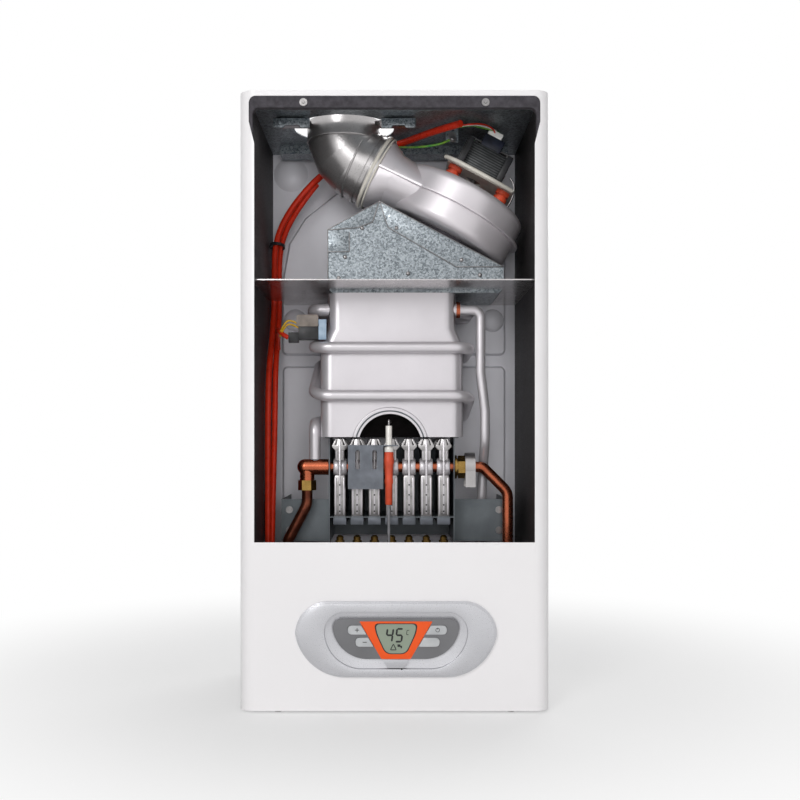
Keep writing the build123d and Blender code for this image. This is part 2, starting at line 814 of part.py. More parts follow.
def bypass_tube():
    left = exchanger_x - burner_half - sheet - 1.0
    right = exchanger_x + burner_half + sheet + 6.0
    return ring((left, bypass_y, bypass_z), (1, 0, 0), bypass_radius, bypass_radius - pipe_wall, right - left)


header_right = exchanger_x - burner_half - sheet - 1.0
header_left = header_right - header_length
union_x = header_left + 11.0


def water_header():
    body = rod((header_left + header_radius, bypass_y, bypass_z), (1, 0, 0), header_radius,
               header_length - header_radius)
    body += Pos(header_left + header_radius, bypass_y, bypass_z) * Sphere(header_radius)
    cavity = rod((header_left + header_radius, bypass_y, bypass_z), (1, 0, 0), header_radius - 1.2,
                 header_length - header_radius - 1.2)
    body -= cavity
    body -= rod((header_right - 5, bypass_y, bypass_z), (1, 0, 0), bypass_radius - pipe_wall, 10)
    body += ring((union_x, bypass_y, bypass_z - 4), (0, 0, -1), 8.0, 5.0, header_radius + 2) - cavity
    body -= rod((union_x, bypass_y, bypass_z), (0, 0, -1), 5.0, 40)
    body -= rod((coil_left, bypass_y, bypass_z), (0, 0, 1), coil_radius - pipe_wall, 20)
    return body


union_z = bypass_z - header_radius - 6.0


def inlet_union():
    # brass hexagon nut between the header and the cold pipe
    return hexagon((union_x, bypass_y, union_z), (0, 0, -1), 17.5, 11.0, pipe_radius)


pipe_radius = 6.0


def cold_pipe():
    top = (union_x, bypass_y, union_z)
    points = [top, (union_x, bypass_y, union_z - 26.7), ((union_x + cold_x) / 2 - 14.5, bypass_y - 2, union_z - 68.7),
              (cold_x - 10, connection_y - 20, sensor_top + 63), (cold_x, connection_y, sensor_top + 18),
              (cold_x, connection_y, sensor_top)]
    return pipe(points, eased(points, 22), pipe_radius, pipe_radius - pipe_wall)


sensor_top = -268.0
sensor_radius = 13.0


def right_union():
    start = exchanger_x + burner_half + sheet + 1.0
    ring_part = ring((start, bypass_y, bypass_z), (1, 0, 0), 13.0, bypass_radius, 2.0)
    nut = hexagon((start + 3.5, bypass_y, bypass_z), (1, 0, 0), 22.0, 7.5, bypass_radius)
    neck = ring((start + 2, bypass_y, bypass_z), (1, 0, 0), 9.5, bypass_radius, 1.5)
    return ring_part + neck + nut


clip_x = exchanger_x + burner_half + sheet + 1.0 + 11.0


def spring_clip():
    bow = ring((clip_x, bypass_y, bypass_z), (1, 0, 0), 16.0, 14.4, 11.0)
    bow -= block(clip_x - 1, clip_x + 20, bypass_y - 9, bypass_y + 9, bypass_z - 20, bypass_z)
    cheek = ring((clip_x, bypass_y, bypass_z), (1, 0, 0), 16.0, pipe_radius + slip, 1.2)
    cheek -= block(clip_x - 1, clip_x + 20, bypass_y - 7, bypass_y + 7, bypass_z - 20, bypass_z)
    legs = block(clip_x, clip_x + 11, bypass_y - 16, bypass_y - 14.4, bypass_z - 22, bypass_z - 4)
    legs += block(clip_x, clip_x + 11, bypass_y + 14.4, bypass_y + 16, bypass_z - 22, bypass_z - 4)
    return bow + cheek + legs


def bypass_pipe():
    start = exchanger_x + burner_half + sheet + 6.0
    points = [(start, bypass_y, bypass_z), (clip_x + 20, bypass_y, bypass_z), (clip_x + 48, bypass_y, bypass_z - 28),
              (clip_x + 48, bypass_y, -190), (hot_x + 14, connection_y, -238), (hot_x + 14, connection_y, valve_top)]
    return pipe(points, [9.0, 16.0, 24.0, 12.0], pipe_radius, pipe_radius - pipe_wall)


def hot_pipe():
    y = core_ys()[-1]
    start = exchanger_x + jacket_upper_half + 6
    points = [(start, y, core_z), (start + 22, y, core_z), (start + 22, y, 34), (start + 27, y, -8),
              (start + 27, y, -40), (start + 27, y + 28, -78), (hot_x + 6, connection_y - 2, -160),
              (hot_x, connection_y, -232), (hot_x, connection_y, valve_top)]
    return pipe(points, [9.0] + eased(points, 20)[1:], coil_radius - 1.0, coil_radius - 1.0 - pipe_wall)


valve_top = -262.0


def core_joint():
    y = core_ys()[-1]
    start = exchanger_x + jacket_upper_half + 1.0
    return ring((start, y, core_z), (1, 0, 0), core_tube_radius + 2.0, core_tube_radius + 0.1, 4.0)


# Gas side
manifold_top = nozzle_top - nozzle_height
manifold_y = burner_front + 14.0
manifold_half = 66.0
valve_half = 30.0
valve_front = -142.0
valve_back = -74.0
valve_top_z = -215.0
valve_bottom_z = -262.0
riser_radius = 8.0
plunger_radius = 5.0
plunger_clearance = 0.08
plunger_length = 30.0
plunger_travel = 2.5
can_radius = 12.5
can_length = 36.0
plunger_z = -238.0
shutoff_y = -124.0
modulating_y = -94.0


def gas_manifold():
    low = manifold_top - manifold_height
    depth = manifold_height
    bar = block(exchanger_x - manifold_half, exchanger_x + manifold_half, manifold_y - depth / 2,
                manifold_y + depth / 2, low, manifold_top)
    bar -= block(exchanger_x - manifold_half + 3, exchanger_x + manifold_half - 3, manifold_y - depth / 2 + 2,
                 manifold_y + depth / 2 - 2, low + 2, manifold_top - 2)
    for x in blade_xs():
        bar -= rod((x, manifold_y, manifold_top - 5), (0, 0, 1), 2.5, 10)
    bar -= rod((gas_x, manifold_y, low - 1), (0, 0, 1), riser_radius - 1, 5)
    for side in (-1, 1):
        x = exchanger_x + side * burner_half
        tab = block(min(x, x + side * sheet), max(x, x + side * sheet), manifold_y - 8, manifold_y + 8,
                    manifold_top - 4, burner_bottom)
        bar += tab
        foot = exchanger_x + side * (manifold_half - 1)
        bar += block(min(foot, x + side * sheet), max(foot, x + side * sheet), manifold_y - 8, manifold_y + 8,
                     manifold_top - 4, manifold_top)
    return bar


def gas_nozzles():
    nozzles = []
    for x in blade_xs():
        nozzle = hexagon((x, manifold_y, manifold_top), (0, 0, 1), 9.0, 3.5)
        nozzle += rod((x, manifold_y, manifold_top + 3.5), (0, 0, 1), nozzle_radius, nozzle_height - 5.5)
        nozzle += Pos(x, manifold_y, nozzle_top - 1) * Cone(nozzle_radius, 2.0, 2.0)
        nozzle -= rod((x, manifold_y, manifold_top - 1), (0, 0, 1), 0.7, nozzle_height + 2)
        nozzles.append(nozzle)
    return Compound(nozzles)


def gas_riser():
    length = manifold_top - manifold_height - valve_top_z
    return ring((gas_x, manifold_y, valve_top_z), (0, 0, 1), riser_radius, riser_radius - 1, length)


def gas_valve_body():
    body = block(gas_x - valve_half, gas_x + valve_half, valve_front, valve_back, valve_bottom_z, valve_top_z)
    body = fillet(body.edges().filter_by(Axis.Z), 5)
    body -= rod((gas_x, manifold_y, valve_top_z + 1), (0, 0, -1), riser_radius - 1, 20)
    body -= rod((gas_x, connection_y, valve_bottom_z - 1), (0, 0, 1), nipple_bore, 16)
    for y in (shutoff_y, modulating_y):
        bore = plunger_radius + plunger_clearance
        body -= rod((gas_x + valve_half + 1, y, plunger_z), (-1, 0, 0), bore, plunger_length / 2 + 1)
    return body


def solenoid(y):
    x0 = gas_x + valve_half
    can = rod((x0, y, plunger_z), (1, 0, 0), can_radius, can_length)
    can = fillet(can.edges().filter_by(GeomType.CIRCLE).sort_by(Axis.X)[-1:], 2)
    can -= rod((x0 - 1, y, plunger_z), (1, 0, 0), plunger_radius + plunger_clearance,
               plunger_length / 2 + plunger_travel + 1.5)
    return can


def valve_solenoids():
    return Compound([solenoid(shutoff_y), solenoid(modulating_y)])


def plunger(y):
    x0 = gas_x + valve_half - plunger_length / 2
    return rod((x0 + 0.4, y, plunger_z), (1, 0, 0), plunger_radius, plunger_length - 0.4)


def shutoff_plunger():
    return plunger(shutoff_y)


def modulating_plunger():
    return plunger(modulating_y)


def nipple(x, top):
    # the threaded end stands below the bottom plate, and the neck above it is a little thinner
    part = ring((x, connection_y, nipple_end_z), (0, 0, 1), nipple_radius, nipple_bore, thread_length)
    part += ring((x, connection_y, nipple_end_z), (0, 0, 1), nipple_radius - neck_relief, nipple_bore,
                 top - nipple_end_z)
    part += ring((x, connection_y, floor_z), (0, 0, 1), nipple_radius + 4, nipple_radius - neck_relief - 0.5, 4)
    return part


# Water side
sensor_bottom = -294.0
sensor_bore = 9.6
turbine_radius = 9.0
turbine_shaft = 1.0


def gas_nipple():
    return nipple(gas_x, valve_bottom_z)


def cold_nipple():
    return nipple(cold_x, sensor_bottom)


def hot_nipple():
    return nipple(hot_x, mixer_bottom)


def flow_sensor():
    height = sensor_top - sensor_bottom
    body = ring((cold_x, connection_y, sensor_bottom), (0, 0, 1), sensor_radius, sensor_bore, height)
    body += ring((cold_x, connection_y, sensor_top - 2), (0, 0, 1), sensor_bore + 1, pipe_radius - pipe_wall, 2)
    body += ring((cold_x, connection_y, sensor_bottom), (0, 0, 1), sensor_bore + 1, nipple_bore, 2)
    for z in (sensor_bottom + 3, sensor_top - 5):
        body += block(cold_x - sensor_bore - 0.5, cold_x + sensor_bore + 0.5, connection_y - 1.5, connection_y + 1.5,
                      z, z + 2) + rod((cold_x, connection_y, z), (0, 0, 1), 2.6, 2)
        body -= rod((cold_x, connection_y, z - 0.5), (0, 0, 1), turbine_shaft + bearing_clearance, 3)
    body += block(cold_x - 7, cold_x + 7, connection_y - sensor_radius - 5, connection_y - sensor_radius + 2,
                  sensor_bottom + 6, sensor_top - 6)
    return body


def flow_turbine():
    low = sensor_bottom + 3
    wheel = rod((cold_x, connection_y, low), (0, 0, 1), turbine_shaft, sensor_top - 3 - low)
    height = sensor_top - sensor_bottom - 14
    mid = (sensor_top + sensor_bottom) / 2
    wheel += rod((cold_x, connection_y, mid - height / 2), (0, 0, 1), 2.8, height)
    for i in range(5):
        vane = Rot(0, 0, i * 72) * Pos(turbine_radius / 2, 0, 0) * Rot(28, 0, 0) * Box(turbine_radius - 0.6, 1.0,
                                                                                  height - 1.5)
        wheel += Pos(cold_x, connection_y, mid) * vane
    return wheel


mixer_bottom = -292.0


def mixing_block():
    body = block(hot_x - 13, hot_x + 23, connection_y - 13, connection_y + 13, mixer_bottom, valve_top)
    body = fillet(body.edges().filter_by(Axis.Z), 5)
    body -= rod((hot_x, connection_y, valve_top + 1), (0, 0, -1), coil_radius - 1 - pipe_wall, 22)
    body -= rod((hot_x + 14, connection_y, valve_top + 1), (0, 0, -1), pipe_radius - pipe_wall, 16)
    body -= rod((hot_x, connection_y, mixer_bottom - 1), (0, 0, 1), nipple_bore, 14)
    return body


# Ignition
bracket_left, bracket_right, electrode_x = -50.5, 4.0, -6.0
bracket_face_y = -155.0
electrode_y = -149.5
ceramic_radius = 3.5
ceramic_top = -25.0
boot_top = -53.6
boot_bottom = -111.4
bracket_top = -46.0
bracket_bottom = -94.0


def electrode_bracket():
    t = 1.2
    seat = burner_front + 2
    plate = block(bracket_left, -12, bracket_face_y, bracket_face_y + t, bracket_bottom, bracket_top)
    plate += block(bracket_left, bracket_right, bracket_face_y, seat, bracket_top - t, bracket_top)
    plate += block(bracket_left, -18, bracket_face_y, seat, bracket_bottom, bracket_bottom + t)
    for x in (-40.0, -21.5):
        plate -= slab(Pos(x, -62) * SlotOverall(21, 5, rotation=90), bracket_face_y + 5, bracket_face_y - 5)
    plate -= rod((electrode_x, electrode_y, bracket_top - 5), (0, 0, 1), ceramic_radius + 0.1, 8)
    return plate


def ignition_electrode():
    rod_part = rod((electrode_x, electrode_y, boot_top + 4), (0, 0, 1), ceramic_radius, ceramic_top - boot_top - 4)
    rod_part += rod((electrode_x, electrode_y, boot_top), (0, 0, 1), ceramic_radius + 1.6, 5)
    return rod_part


def electrode_tip():
    points = [(electrode_x, electrode_y, ceramic_top), (electrode_x, electrode_y, ceramic_top + 7),
              (electrode_x + 2, electrode_y + 17, ceramic_top + 4)]
    return pipe(points, [2.6], 1.1)


def electrode_boot():
    height = boot_top - boot_bottom
    return Pos(electrode_x, electrode_y, boot_bottom + height / 2) * Cone(3.9, 5.6, height)


def ignition_lead():
    points = [(electrode_x, electrode_y, boot_bottom), (electrode_x, electrode_y, -172), (-30, -146, -192),
              (-56, -100, -206), (igniter_x, -50, igniter_top + 20), (igniter_x, -18, igniter_top + 14),
              (igniter_x, -18, igniter_top)]
    return pipe(points, eased(points, 30), 1.5)


igniter_x = -78.0
igniter_top = -205.0


def ignition_transformer():
    box = block(igniter_x - 17, igniter_x + 17, -33, -sheet, igniter_top - 40, igniter_top)
    box = fillet(box.edges().filter_by(Axis.Y), 3)
    box += block(igniter_x - 26, igniter_x + 26, -4, -sheet, igniter_top - 30, igniter_top - 12)
    return box


def pressure_switch():
    x, z = 60.0, -215.0
    switch = rod((x, -sheet, z), (0, -1, 0), 26, 9) + rod((x, -sheet - 9, z), (0, -1, 0), 22, 8)
    switch += rod((x, -sheet - 17, z), (0, -1, 0), 9, 8)
    switch += rod((x - 12, -sheet - 6, z + 20), (0, 0, 1), 2.5, 16)
    return switch


# Overheat cut-out below the left return bend
cutout_left, cutout_right = -107.0, -83.0
cutout_front, cutout_back = -152.0, -138.0
cutout_bottom = 69.6
cutout_top = core_z - core_tube_radius - 0.4


def overheat_thermostat():
    mid = cutout_top - 13
    return block(cutout_left + 2, cutout_right, cutout_front + 1, cutout_back, cutout_bottom, mid)


def thermostat_cap():
    cap = block(cutout_left, cutout_right, cutout_front, cutout_back, cutout_top - 13, cutout_top)
    return fillet(cap.edges().filter_by(Axis.Y), 2.5)


def thermostat_clip():
    clip = block(cutout_right, cutout_right + 8.5, cutout_front + 2, cutout_front + 4, cutout_bottom, cutout_bottom + 22)
    clip += block(cutout_right, cutout_right + 2, cutout_front + 2, cutout_back + 2, cutout_bottom, cutout_bottom + 22)
    clip += block(cutout_right, cutout_right + 8.5, cutout_front + 2, cutout_front + 9, cutout_bottom + 18,
                  cutout_bottom + 22)
    return clip


def thermostat_plug():
    return block(cutout_left - 9, cutout_left + 2, cutout_front + 3, cutout_back - 1, cutout_bottom - 3, cutout_bottom + 8)


# Brackets beside the burner
side_bracket_y = -116.0
side_bracket_top = -107.0
side_bracket_low = -154.0
bracket_from_wall = 23.0


def burner_brackets():
    brackets = []
    for side in (-1, 1):
        inner = exchanger_x + side * (burner_half + sheet)
        outer = side * (wall_x - bracket_from_wall)
        x0, x1 = min(inner, outer), max(inner, outer)
        plate = block(x0, x1, side_bracket_y, side_bracket_y + 1.2, side_bracket_low, side_bracket_top)
        lip = (outer - side * 1.2, outer)
        plate += block(min(lip), max(lip), side_bracket_y, -sheet - emboss_rise, side_bracket_low, side_bracket_top)
        for z in (side_bracket_top - 12, side_bracket_low + 12):
            plate -= rod((outer - side * 9, side_bracket_y - 2, z), (0, 1, 0), screw_radius, 6)
        brackets.append(plate)
    return Compound(brackets)


def bracket_screws():
    screws = []
    for side in (-1, 1):
        for z in (side_bracket_top - 12, side_bracket_low + 12):
            start = (side * (wall_x - bracket_from_wall - 9), side_bracket_y, z)
            screws.append(rod(start, (0, -1, 0), screw_head_radius, screw_head) + rod(start, (0, 1, 0), screw_radius, 4))
    return Compound(screws)


# Controls on the front
def lozenge(half, top_half, bottom_half, top, waist, bottom):
    # flat top and bottom joined by large round ends, widest at the waist
    x = panel_x
    sides = []
    for s in (1, -1):
        low = ThreePointArc((x + s * bottom_half, bottom),
                            (x + s * (bottom_half + (half - bottom_half) * 0.80), bottom + (waist - bottom) * 0.46),
                            (x + s * half, waist))
        high = ThreePointArc((x + s * half, waist),
                             (x + s * (half - (half - top_half) * 0.20), waist + (top - waist) * 0.58),
                             (x + s * top_half, top))
        sides += [low, high]
    sides.append(Line((x + top_half, top), (x - top_half, top)))
    sides.append(Line((x + bottom_half, bottom), (x - bottom_half, bottom)))
    return make_face(Wire(sides))


def bezel_outline():
    return lozenge(bezel_half, bezel_top_half, bezel_bottom_half, bezel_top, bezel_waist, bezel_bottom)


def well_outline():
    return lozenge(well_half, well_top_half, well_bottom_half, well_top, well_waist, well_bottom)


def plate_outline():
    return lozenge(plate_half, plate_top_half, plate_bottom_half, plate_top, plate_waist, plate_bottom)


def trapezoid(top_half, bottom_half, top, bottom, corner):
    x = panel_x
    face = outline((x - top_half, top), (x + top_half, top), (x + bottom_half, bottom), (x - bottom_half, bottom))
    return fillet(face.vertices(), corner)


bezel_front = front_y - panel_proud
plate_back = front_y - bezel_floor
plate_front = bezel_front + plate_front_step
button_spots = [("plus", -36.6, -234.4), ("minus", -28.8, -246.8), ("power", 42.4, -234.4), ("mode", 35.0, -246.8)]


def bezel():
    body = slab(bezel_outline(), front_y, bezel_front + bezel_bevel)
    body += slab(offset(bezel_outline(), -bezel_bevel / 2), front_y, bezel_front + bezel_bevel / 2)
    body += slab(offset(bezel_outline(), -bezel_bevel), front_y, bezel_front)
    body -= slab(well_outline(), front_y - bezel_floor, bezel_front - 1)
    body -= slab(offset(plate_outline(), -3.0), front_y + 1, bezel_front)
    return body


def button_sketch(grow):
    return RectangleRounded(button_width + 2 * grow, button_height + 2 * grow, button_round + grow * 0.9)


def panel_plate():
    plate = slab(plate_outline(), plate_back, plate_front)
    for name, x, z in button_spots:
        plate -= slab(Pos(x, z) * button_sketch(button_gap), plate_back + 1, plate_front - 1)
    plate -= slab(trapezoid(screen_top_half, screen_bottom_half, screen_top, screen_bottom, 4), plate_back + 1,
                  plate_front - 1)
    return plate


def display_mask():
    mask = slab(trapezoid(mask_top_half, mask_bottom_half, mask_top, mask_bottom, 2), plate_front,
                plate_front - mask_thickness)
    mask -= slab(trapezoid(screen_top_half, screen_bottom_half, screen_top, screen_bottom, 4), plate_front + 1,
                 plate_front - 2)
    for name, x, z in button_spots:
        mask -= slab(Pos(x, z) * button_sketch(button_gap), plate_front + 1, plate_front - 2)
    return mask


def display_screen():
    return slab(offset(trapezoid(screen_top_half, screen_bottom_half, screen_top, screen_bottom, 4), -0.1),
                board_y - board_thickness, plate_front - mask_thickness / 2)


def button(x, z):
    cap = slab(Pos(x, z) * button_sketch(0), plate_back + 0.5, plate_front - button_proud)
    cap = fillet(cap.faces().sort_by(Axis.Y)[0].edges(), 0.6)
    return cap + slab(Pos(x, z) * button_sketch(button_lip), plate_back + 1.0, plate_back + 0.02)


def button_plus():
    return button(*button_spots[0][1:])


def button_minus():
    return button(*button_spots[1][1:])


def button_power():
    return button(*button_spots[2][1:])


def button_mode():
    return button(*button_spots[3][1:])


def control_box():
    y0 = front_y + sheet
    box = block(panel_x - box_half_width, panel_x + box_half_width, y0, y0 + box_depth, box_bottom, box_top)
    box -= block(panel_x - box_half_width + box_wall, panel_x + box_half_width - box_wall, y0 - 1,
                 y0 + box_depth - box_wall, box_bottom + box_wall, box_top - box_wall)
    for x in (-67, 67):
        for z in (box_bottom + 8, box_top - 8):
            box += rod((panel_x + x, y0 + box_depth - box_wall, z), (0, -1, 0), 3.5,
                       y0 + box_depth - box_wall - board_y)
    return box


def control_board():
    reach = box_half_width - box_wall - 1
    return block(panel_x - reach, panel_x + reach, board_y - board_thickness, board_y, box_bottom + box_wall + 1,
                 box_top - box_wall - 1)


def tact_switches():
    tops = []
    for name, x, z in button_spots:
        base = board_y - board_thickness
        front = plate_back + 1.0 + button_travel + 0.2
        tops.append(block(x - 3, x + 3, front + 0.8, base, z - 3, z + 3) + rod((x, front + 0.8, z), (0, -1, 0), 1.7, 0.8))
    return Compound(tops)


def board_parts():
    pieces = []
    for x, z, w, h, d in ((-52, -276, 18, 14, 14), (-30, -276, 15, 12, 15), (47, -272, 24, 20, 16),
                          (28, -278, 10, 10, 12), (-55, -216, 16, 10, 10), (56, -216, 14, 12, 8), (0, -280, 22, 6, 9)):
        pieces.append(block(panel_x + x - w / 2, panel_x + x + w / 2, board_y, board_y + d, z - h / 2, z + h / 2))
    return Compound(pieces)


# Harness
trunk_radius = 5.2
sleeve_radius = 4.2


def trunk_path():
    x = -wall_x + sheet + trunk_radius + 0.4
    top = ceiling_z
    return [(x + 49, -59, top - 49), (x + 22, -60, top - 73), (x + 4, -46, top - 113), (x, -30, 150), (x, -27, 118), (x, -50, 80),
            (x, -86, 42), (x, -92, -20), (x, -94, -110), (x, -100, -190), (x + 14, -140, -235), (x + 40, -185, -262),
            (x + 66, front_y + sheet + box_depth + 8, -276)]


def harness_trunk():
    points = trunk_path()
    return pipe(points, eased(points), trunk_radius)


def fan_sleeve():
    top = ceiling_z
    points = [(-99, -60, top - 53), (-84, -57, top - 36), (-56, -56, top - 21), (-22, -62, top - 12),
              (14, -88, top - 8), (44, -126, top - 6.5), (72, -160, top - 8)]
    return pipe(points, eased(points), sleeve_radius)


def fan_wires():
    wires = []
    for i in range(3):
        dx = (i - 1) * 2.6
        points = [(72 + dx * 0.3, -160 - abs(dx) * 0.1, ceiling_z - 8 + dx * 0.55),
                  (88 + dx * 0.3, -172 + dx, ceiling_z - 10 + dx * 0.4), (106 + dx, -150, ceiling_z - 6), fan_point(-2 + dx * 1.4, -stator_half - 0.6, bridge_n + 17)]
        wires.append(pipe(points, eased(points), 1.1))
    return Compound(wires)


def cable_tie():
    a = Vector(*trunk_path()[2])
    b = Vector(*trunk_path()[3])
    way = (b - a).normalized()
    start = a + way * 4
    tie = ring(tuple(start), tuple(way), trunk_radius + 1.2, trunk_radius + 0.02, 4.5)
    return tie


def cutout_sleeve():
    x = -wall_x + sheet + trunk_radius + 0.4
    points = [(x + 8, -68, 66), (x + 10, -92, 80), (x + 12, -122, 84), (cutout_left - 26, -143.5, cutout_bottom + 6),
              (cutout_left - 9.6, -143.5, cutout_bottom + 2.5)]
    return pipe(points, eased(points), 2.6)


# Mains inlet gland, the cord itself isn't part of the heater
gland_x, gland_y = 48.0, -40.0


def mains_gland():
    gland = ring((gland_x, gland_y, floor_z - 6), (0, 0, 1), 8.0, 4.0, 6 - sheet)
    gland += ring((gland_x, gland_y, floor_z - sheet - 0.5), (0, 0, 1), 6.0, 4.0, 7)
    gland += ring((gland_x, gland_y, floor_z), (0, 0, 1), 9.5, 4.0, 4)
    return gland


earth_z = ceiling_z - 10


def earth_tab():
    tab = block(58, 72, -118.0, -116.8, ceiling_z - 17, ceiling_z)
    tab -= rod((65, -125, earth_z), (0, 1, 0), screw_radius, 12)
    return tab


def earth_screw():
    screw = rod((65, -118.0, earth_z), (0, -1, 0), 4.6, 2.6) + rod((65, -118.0, earth_z), (0, 1, 0), screw_radius, 4)
    screw -= block(65 - 0.5, 65 + 0.5, -125, -119.6, earth_z - 4, earth_z + 4)
    return screw


def group(*pieces):
    solids = []
    for piece in pieces:
        solids += piece.solids()
    return Compound(solids)


nodes = {
    "front_cover": [front_cover],
    "rear_panel": [rear_panel],
    "side_walls": [lambda: side_wall(-1), lambda: side_wall(1)],
    "top_plate": [top_plate, ceiling_rail, earth_tab],
    "bottom_plate": [bottom_plate, mains_gland],
    "foam_seals": [chamber_gasket, fan_inlet_seal],
    "fixing_screws": [foot_screws, gasket_screws, bracket_screws, earth_screw],
    "flue_collar": [flue_collar, flue_clips],
    "flue_elbow": [flue_elbow],
    "fan_outlet_band": [fan_outlet_band],
    "fan_housing_lower": [fan_housing_lower],
    "fan_housing_upper": [fan_housing_upper],
    "fan_impeller": [fan_impeller],
    "motor_shaft": [motor_shaft, cooling_disc],
    "motor_stator": [motor_stator, motor_coil],
    "motor_bridges": [motor_bridges],
    "motor_terminal": [motor_terminal, motor_connector],
    "fan_bracket": [fan_bracket],
    "fan_dampers": [fan_dampers],
    "fume_hood": [fume_hood],
    "exchanger_jacket": [exchanger_jacket],
    "exchanger_fins": [exchanger_fins],
    "exchanger_tubes": [exchanger_tubes, core_joint],
    "exchanger_coil": [exchanger_coil],
    "support_shelf": [support_shelf],
    "burner_blades": [burner_blades],
    "burner_frame": [burner_side_plates, burner_frame, burner_hangers],
    "burner_brackets": [burner_brackets],
    "water_header": [water_header],
    "brass_unions": [inlet_union, right_union],
    "cold_pipe": [cold_pipe],
    "hot_pipe": [hot_pipe],
    "bypass_pipes": [bypass_tube, bypass_pipe],
    "spring_clip": [spring_clip],
    "gas_manifold": [gas_manifold, gas_riser],
    "gas_nozzles": [gas_nozzles],
    "gas_valve": [gas_valve_body, valve_solenoids],
    "shutoff_plunger": [shutoff_plunger],
    "modulating_plunger": [modulating_plunger],
    "pipe_nipples": [gas_nipple, cold_nipple, hot_nipple],
    "flow_sensor": [flow_sensor],
    "flow_turbine": [flow_turbine],
    "mixing_block": [mixing_block],
    "electrode_bracket": [electrode_bracket],
    "ignition_electrode": [ignition_electrode, electrode_tip],
    "ignition_lead": [electrode_boot, ignition_lead],
    "ignition_transformer": [ignition_transformer],
    "pressure_switch": [pressure_switch],
    "overheat_thermostat": [overheat_thermostat, thermostat_cap, thermostat_clip, thermostat_plug],
    "bezel": [bezel],
    "panel_plate": [panel_plate],
    "display_mask": [display_mask],
    "display_screen": [display_screen],
    "button_plus": [button_plus],
    "button_minus": [button_minus],
    "button_power": [button_power],
    "button_mode": [button_mode],
    "control_box": [control_box],
    "control_board": [control_board, tact_switches, board_parts],
    "wiring_harness": [harness_trunk, fan_sleeve, cutout_sleeve, cable_tie, fan_wires],
}

os.makedirs("parts", exist_ok=True)
for name, makers in nodes.items():
    pieces = [maker() for maker in makers]
    solid = group(*pieces)
    found = solid.solids()
    export_step(found[0] if len(found) == 1 else solid, "parts/" + name + ".step")
print(len(nodes), "nodes written")
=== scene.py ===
import bpy
import math
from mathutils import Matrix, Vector


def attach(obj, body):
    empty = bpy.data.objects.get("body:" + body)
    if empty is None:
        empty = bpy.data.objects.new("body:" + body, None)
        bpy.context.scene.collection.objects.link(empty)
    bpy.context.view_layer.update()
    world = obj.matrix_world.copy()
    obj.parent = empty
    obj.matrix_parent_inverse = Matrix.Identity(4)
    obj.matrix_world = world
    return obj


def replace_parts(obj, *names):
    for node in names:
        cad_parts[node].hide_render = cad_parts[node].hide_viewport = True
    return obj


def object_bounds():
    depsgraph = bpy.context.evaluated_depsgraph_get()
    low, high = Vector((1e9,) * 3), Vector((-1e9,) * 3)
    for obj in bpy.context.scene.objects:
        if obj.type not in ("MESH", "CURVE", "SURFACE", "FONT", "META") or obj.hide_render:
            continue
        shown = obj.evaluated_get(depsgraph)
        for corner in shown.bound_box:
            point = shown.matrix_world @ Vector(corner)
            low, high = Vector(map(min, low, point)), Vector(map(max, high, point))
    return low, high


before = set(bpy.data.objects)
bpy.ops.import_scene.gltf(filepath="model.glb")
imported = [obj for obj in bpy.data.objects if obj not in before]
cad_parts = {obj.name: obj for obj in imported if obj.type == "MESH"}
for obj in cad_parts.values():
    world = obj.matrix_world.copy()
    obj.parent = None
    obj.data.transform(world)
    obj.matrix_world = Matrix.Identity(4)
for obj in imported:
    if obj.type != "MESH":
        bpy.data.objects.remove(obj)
cad_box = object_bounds()

bl_info = {
    "name": "Gas water heater",
    "version": (1, 0, 0),
    "blender": (4, 5, 0),
    "location": "3D View > Sidebar > Heater",
    "description": "Dresses the packed model of a gas water heater in its real materials and fine parts",
    "category": "Object",
}

# Every size below is in millimetres and goes through at() or mm() to become metres.
fan_centre = (69.0, -98.0, 213.9)
fan_tilt = 28
fan_cos, fan_sin = math.cos(math.radians(fan_tilt)), math.sin(math.radians(fan_tilt))
forward = (0, -1, 0)
flue_axis = (-56.5, -110, 0)
outlet_axis = (0.883, 0, -0.469)
arch_centre = (-4.7, -144.4, -46.6)
jacket_middle = (-2.8, -89.0)
jacket_bottom = -37.2
jacket_front = -144.0
rear_field_front = -6.8
gasket_face = -223.5
gasket_screws = ((-93.5, 306.4), (93.5, 306.4))
half_domes = ((-121, 106), (121, 106))
blade_first, blade_pitch, blade_count = -2.8 - 3 * 19.1, 19.1, 7
blade_front, blade_depth = -140.5, 96
rivet_spots = ((-35.5, 192.7), (2.45, 192.7), (-54.2, 160.8), (-61.35, 137.7), (15.1, 142.65), (74.06, 157.5),
               (94.3, 141.0))
panel_middle, mask_top, mask_foot = 1.5, -225.7, -264.1
mask_top_half, mask_foot_half = 37.3, 14.9
key_spots = (("plus", -36.6, -234.4), ("minus", -28.8, -246.8), ("power", 42.4, -234.4), ("mode", 35.0, -246.8))
key_half_width, key_half_height = 11, 4.6


def mm(size):
    """Millimetres to metres."""
    return size / 1000


def at(x, y, z):
    """A point in millimetres as a vector in metres."""
    return Vector((x, y, z)) / 1000


def fan_at(u, v, n):
    """A point of the tilted fan in millimetres: u along its flange, v to the back, n along its shaft."""
    x, y, z = fan_centre
    return (x + u * fan_cos + n * fan_sin, y + v, z - u * fan_sin + n * fan_cos)


def in_fan(p):
    """The fan's own u, v, n of a point in millimetres."""
    x, y, z = p[0] - fan_centre[0], p[1] - fan_centre[1], p[2] - fan_centre[2]
    return (x * fan_cos - z * fan_sin, y, x * fan_sin + z * fan_cos)


def linear(hex_colour):
    """Turn an sRGB hex colour into linear red, green, blue and alpha."""
    parts = [int(hex_colour[i:i + 2], 16) / 255 for i in (1, 3, 5)]
    return tuple(p / 12.92 if p <= 0.04045 else ((p + 0.055) / 1.055) ** 2.4 for p in parts) + (1.0,)


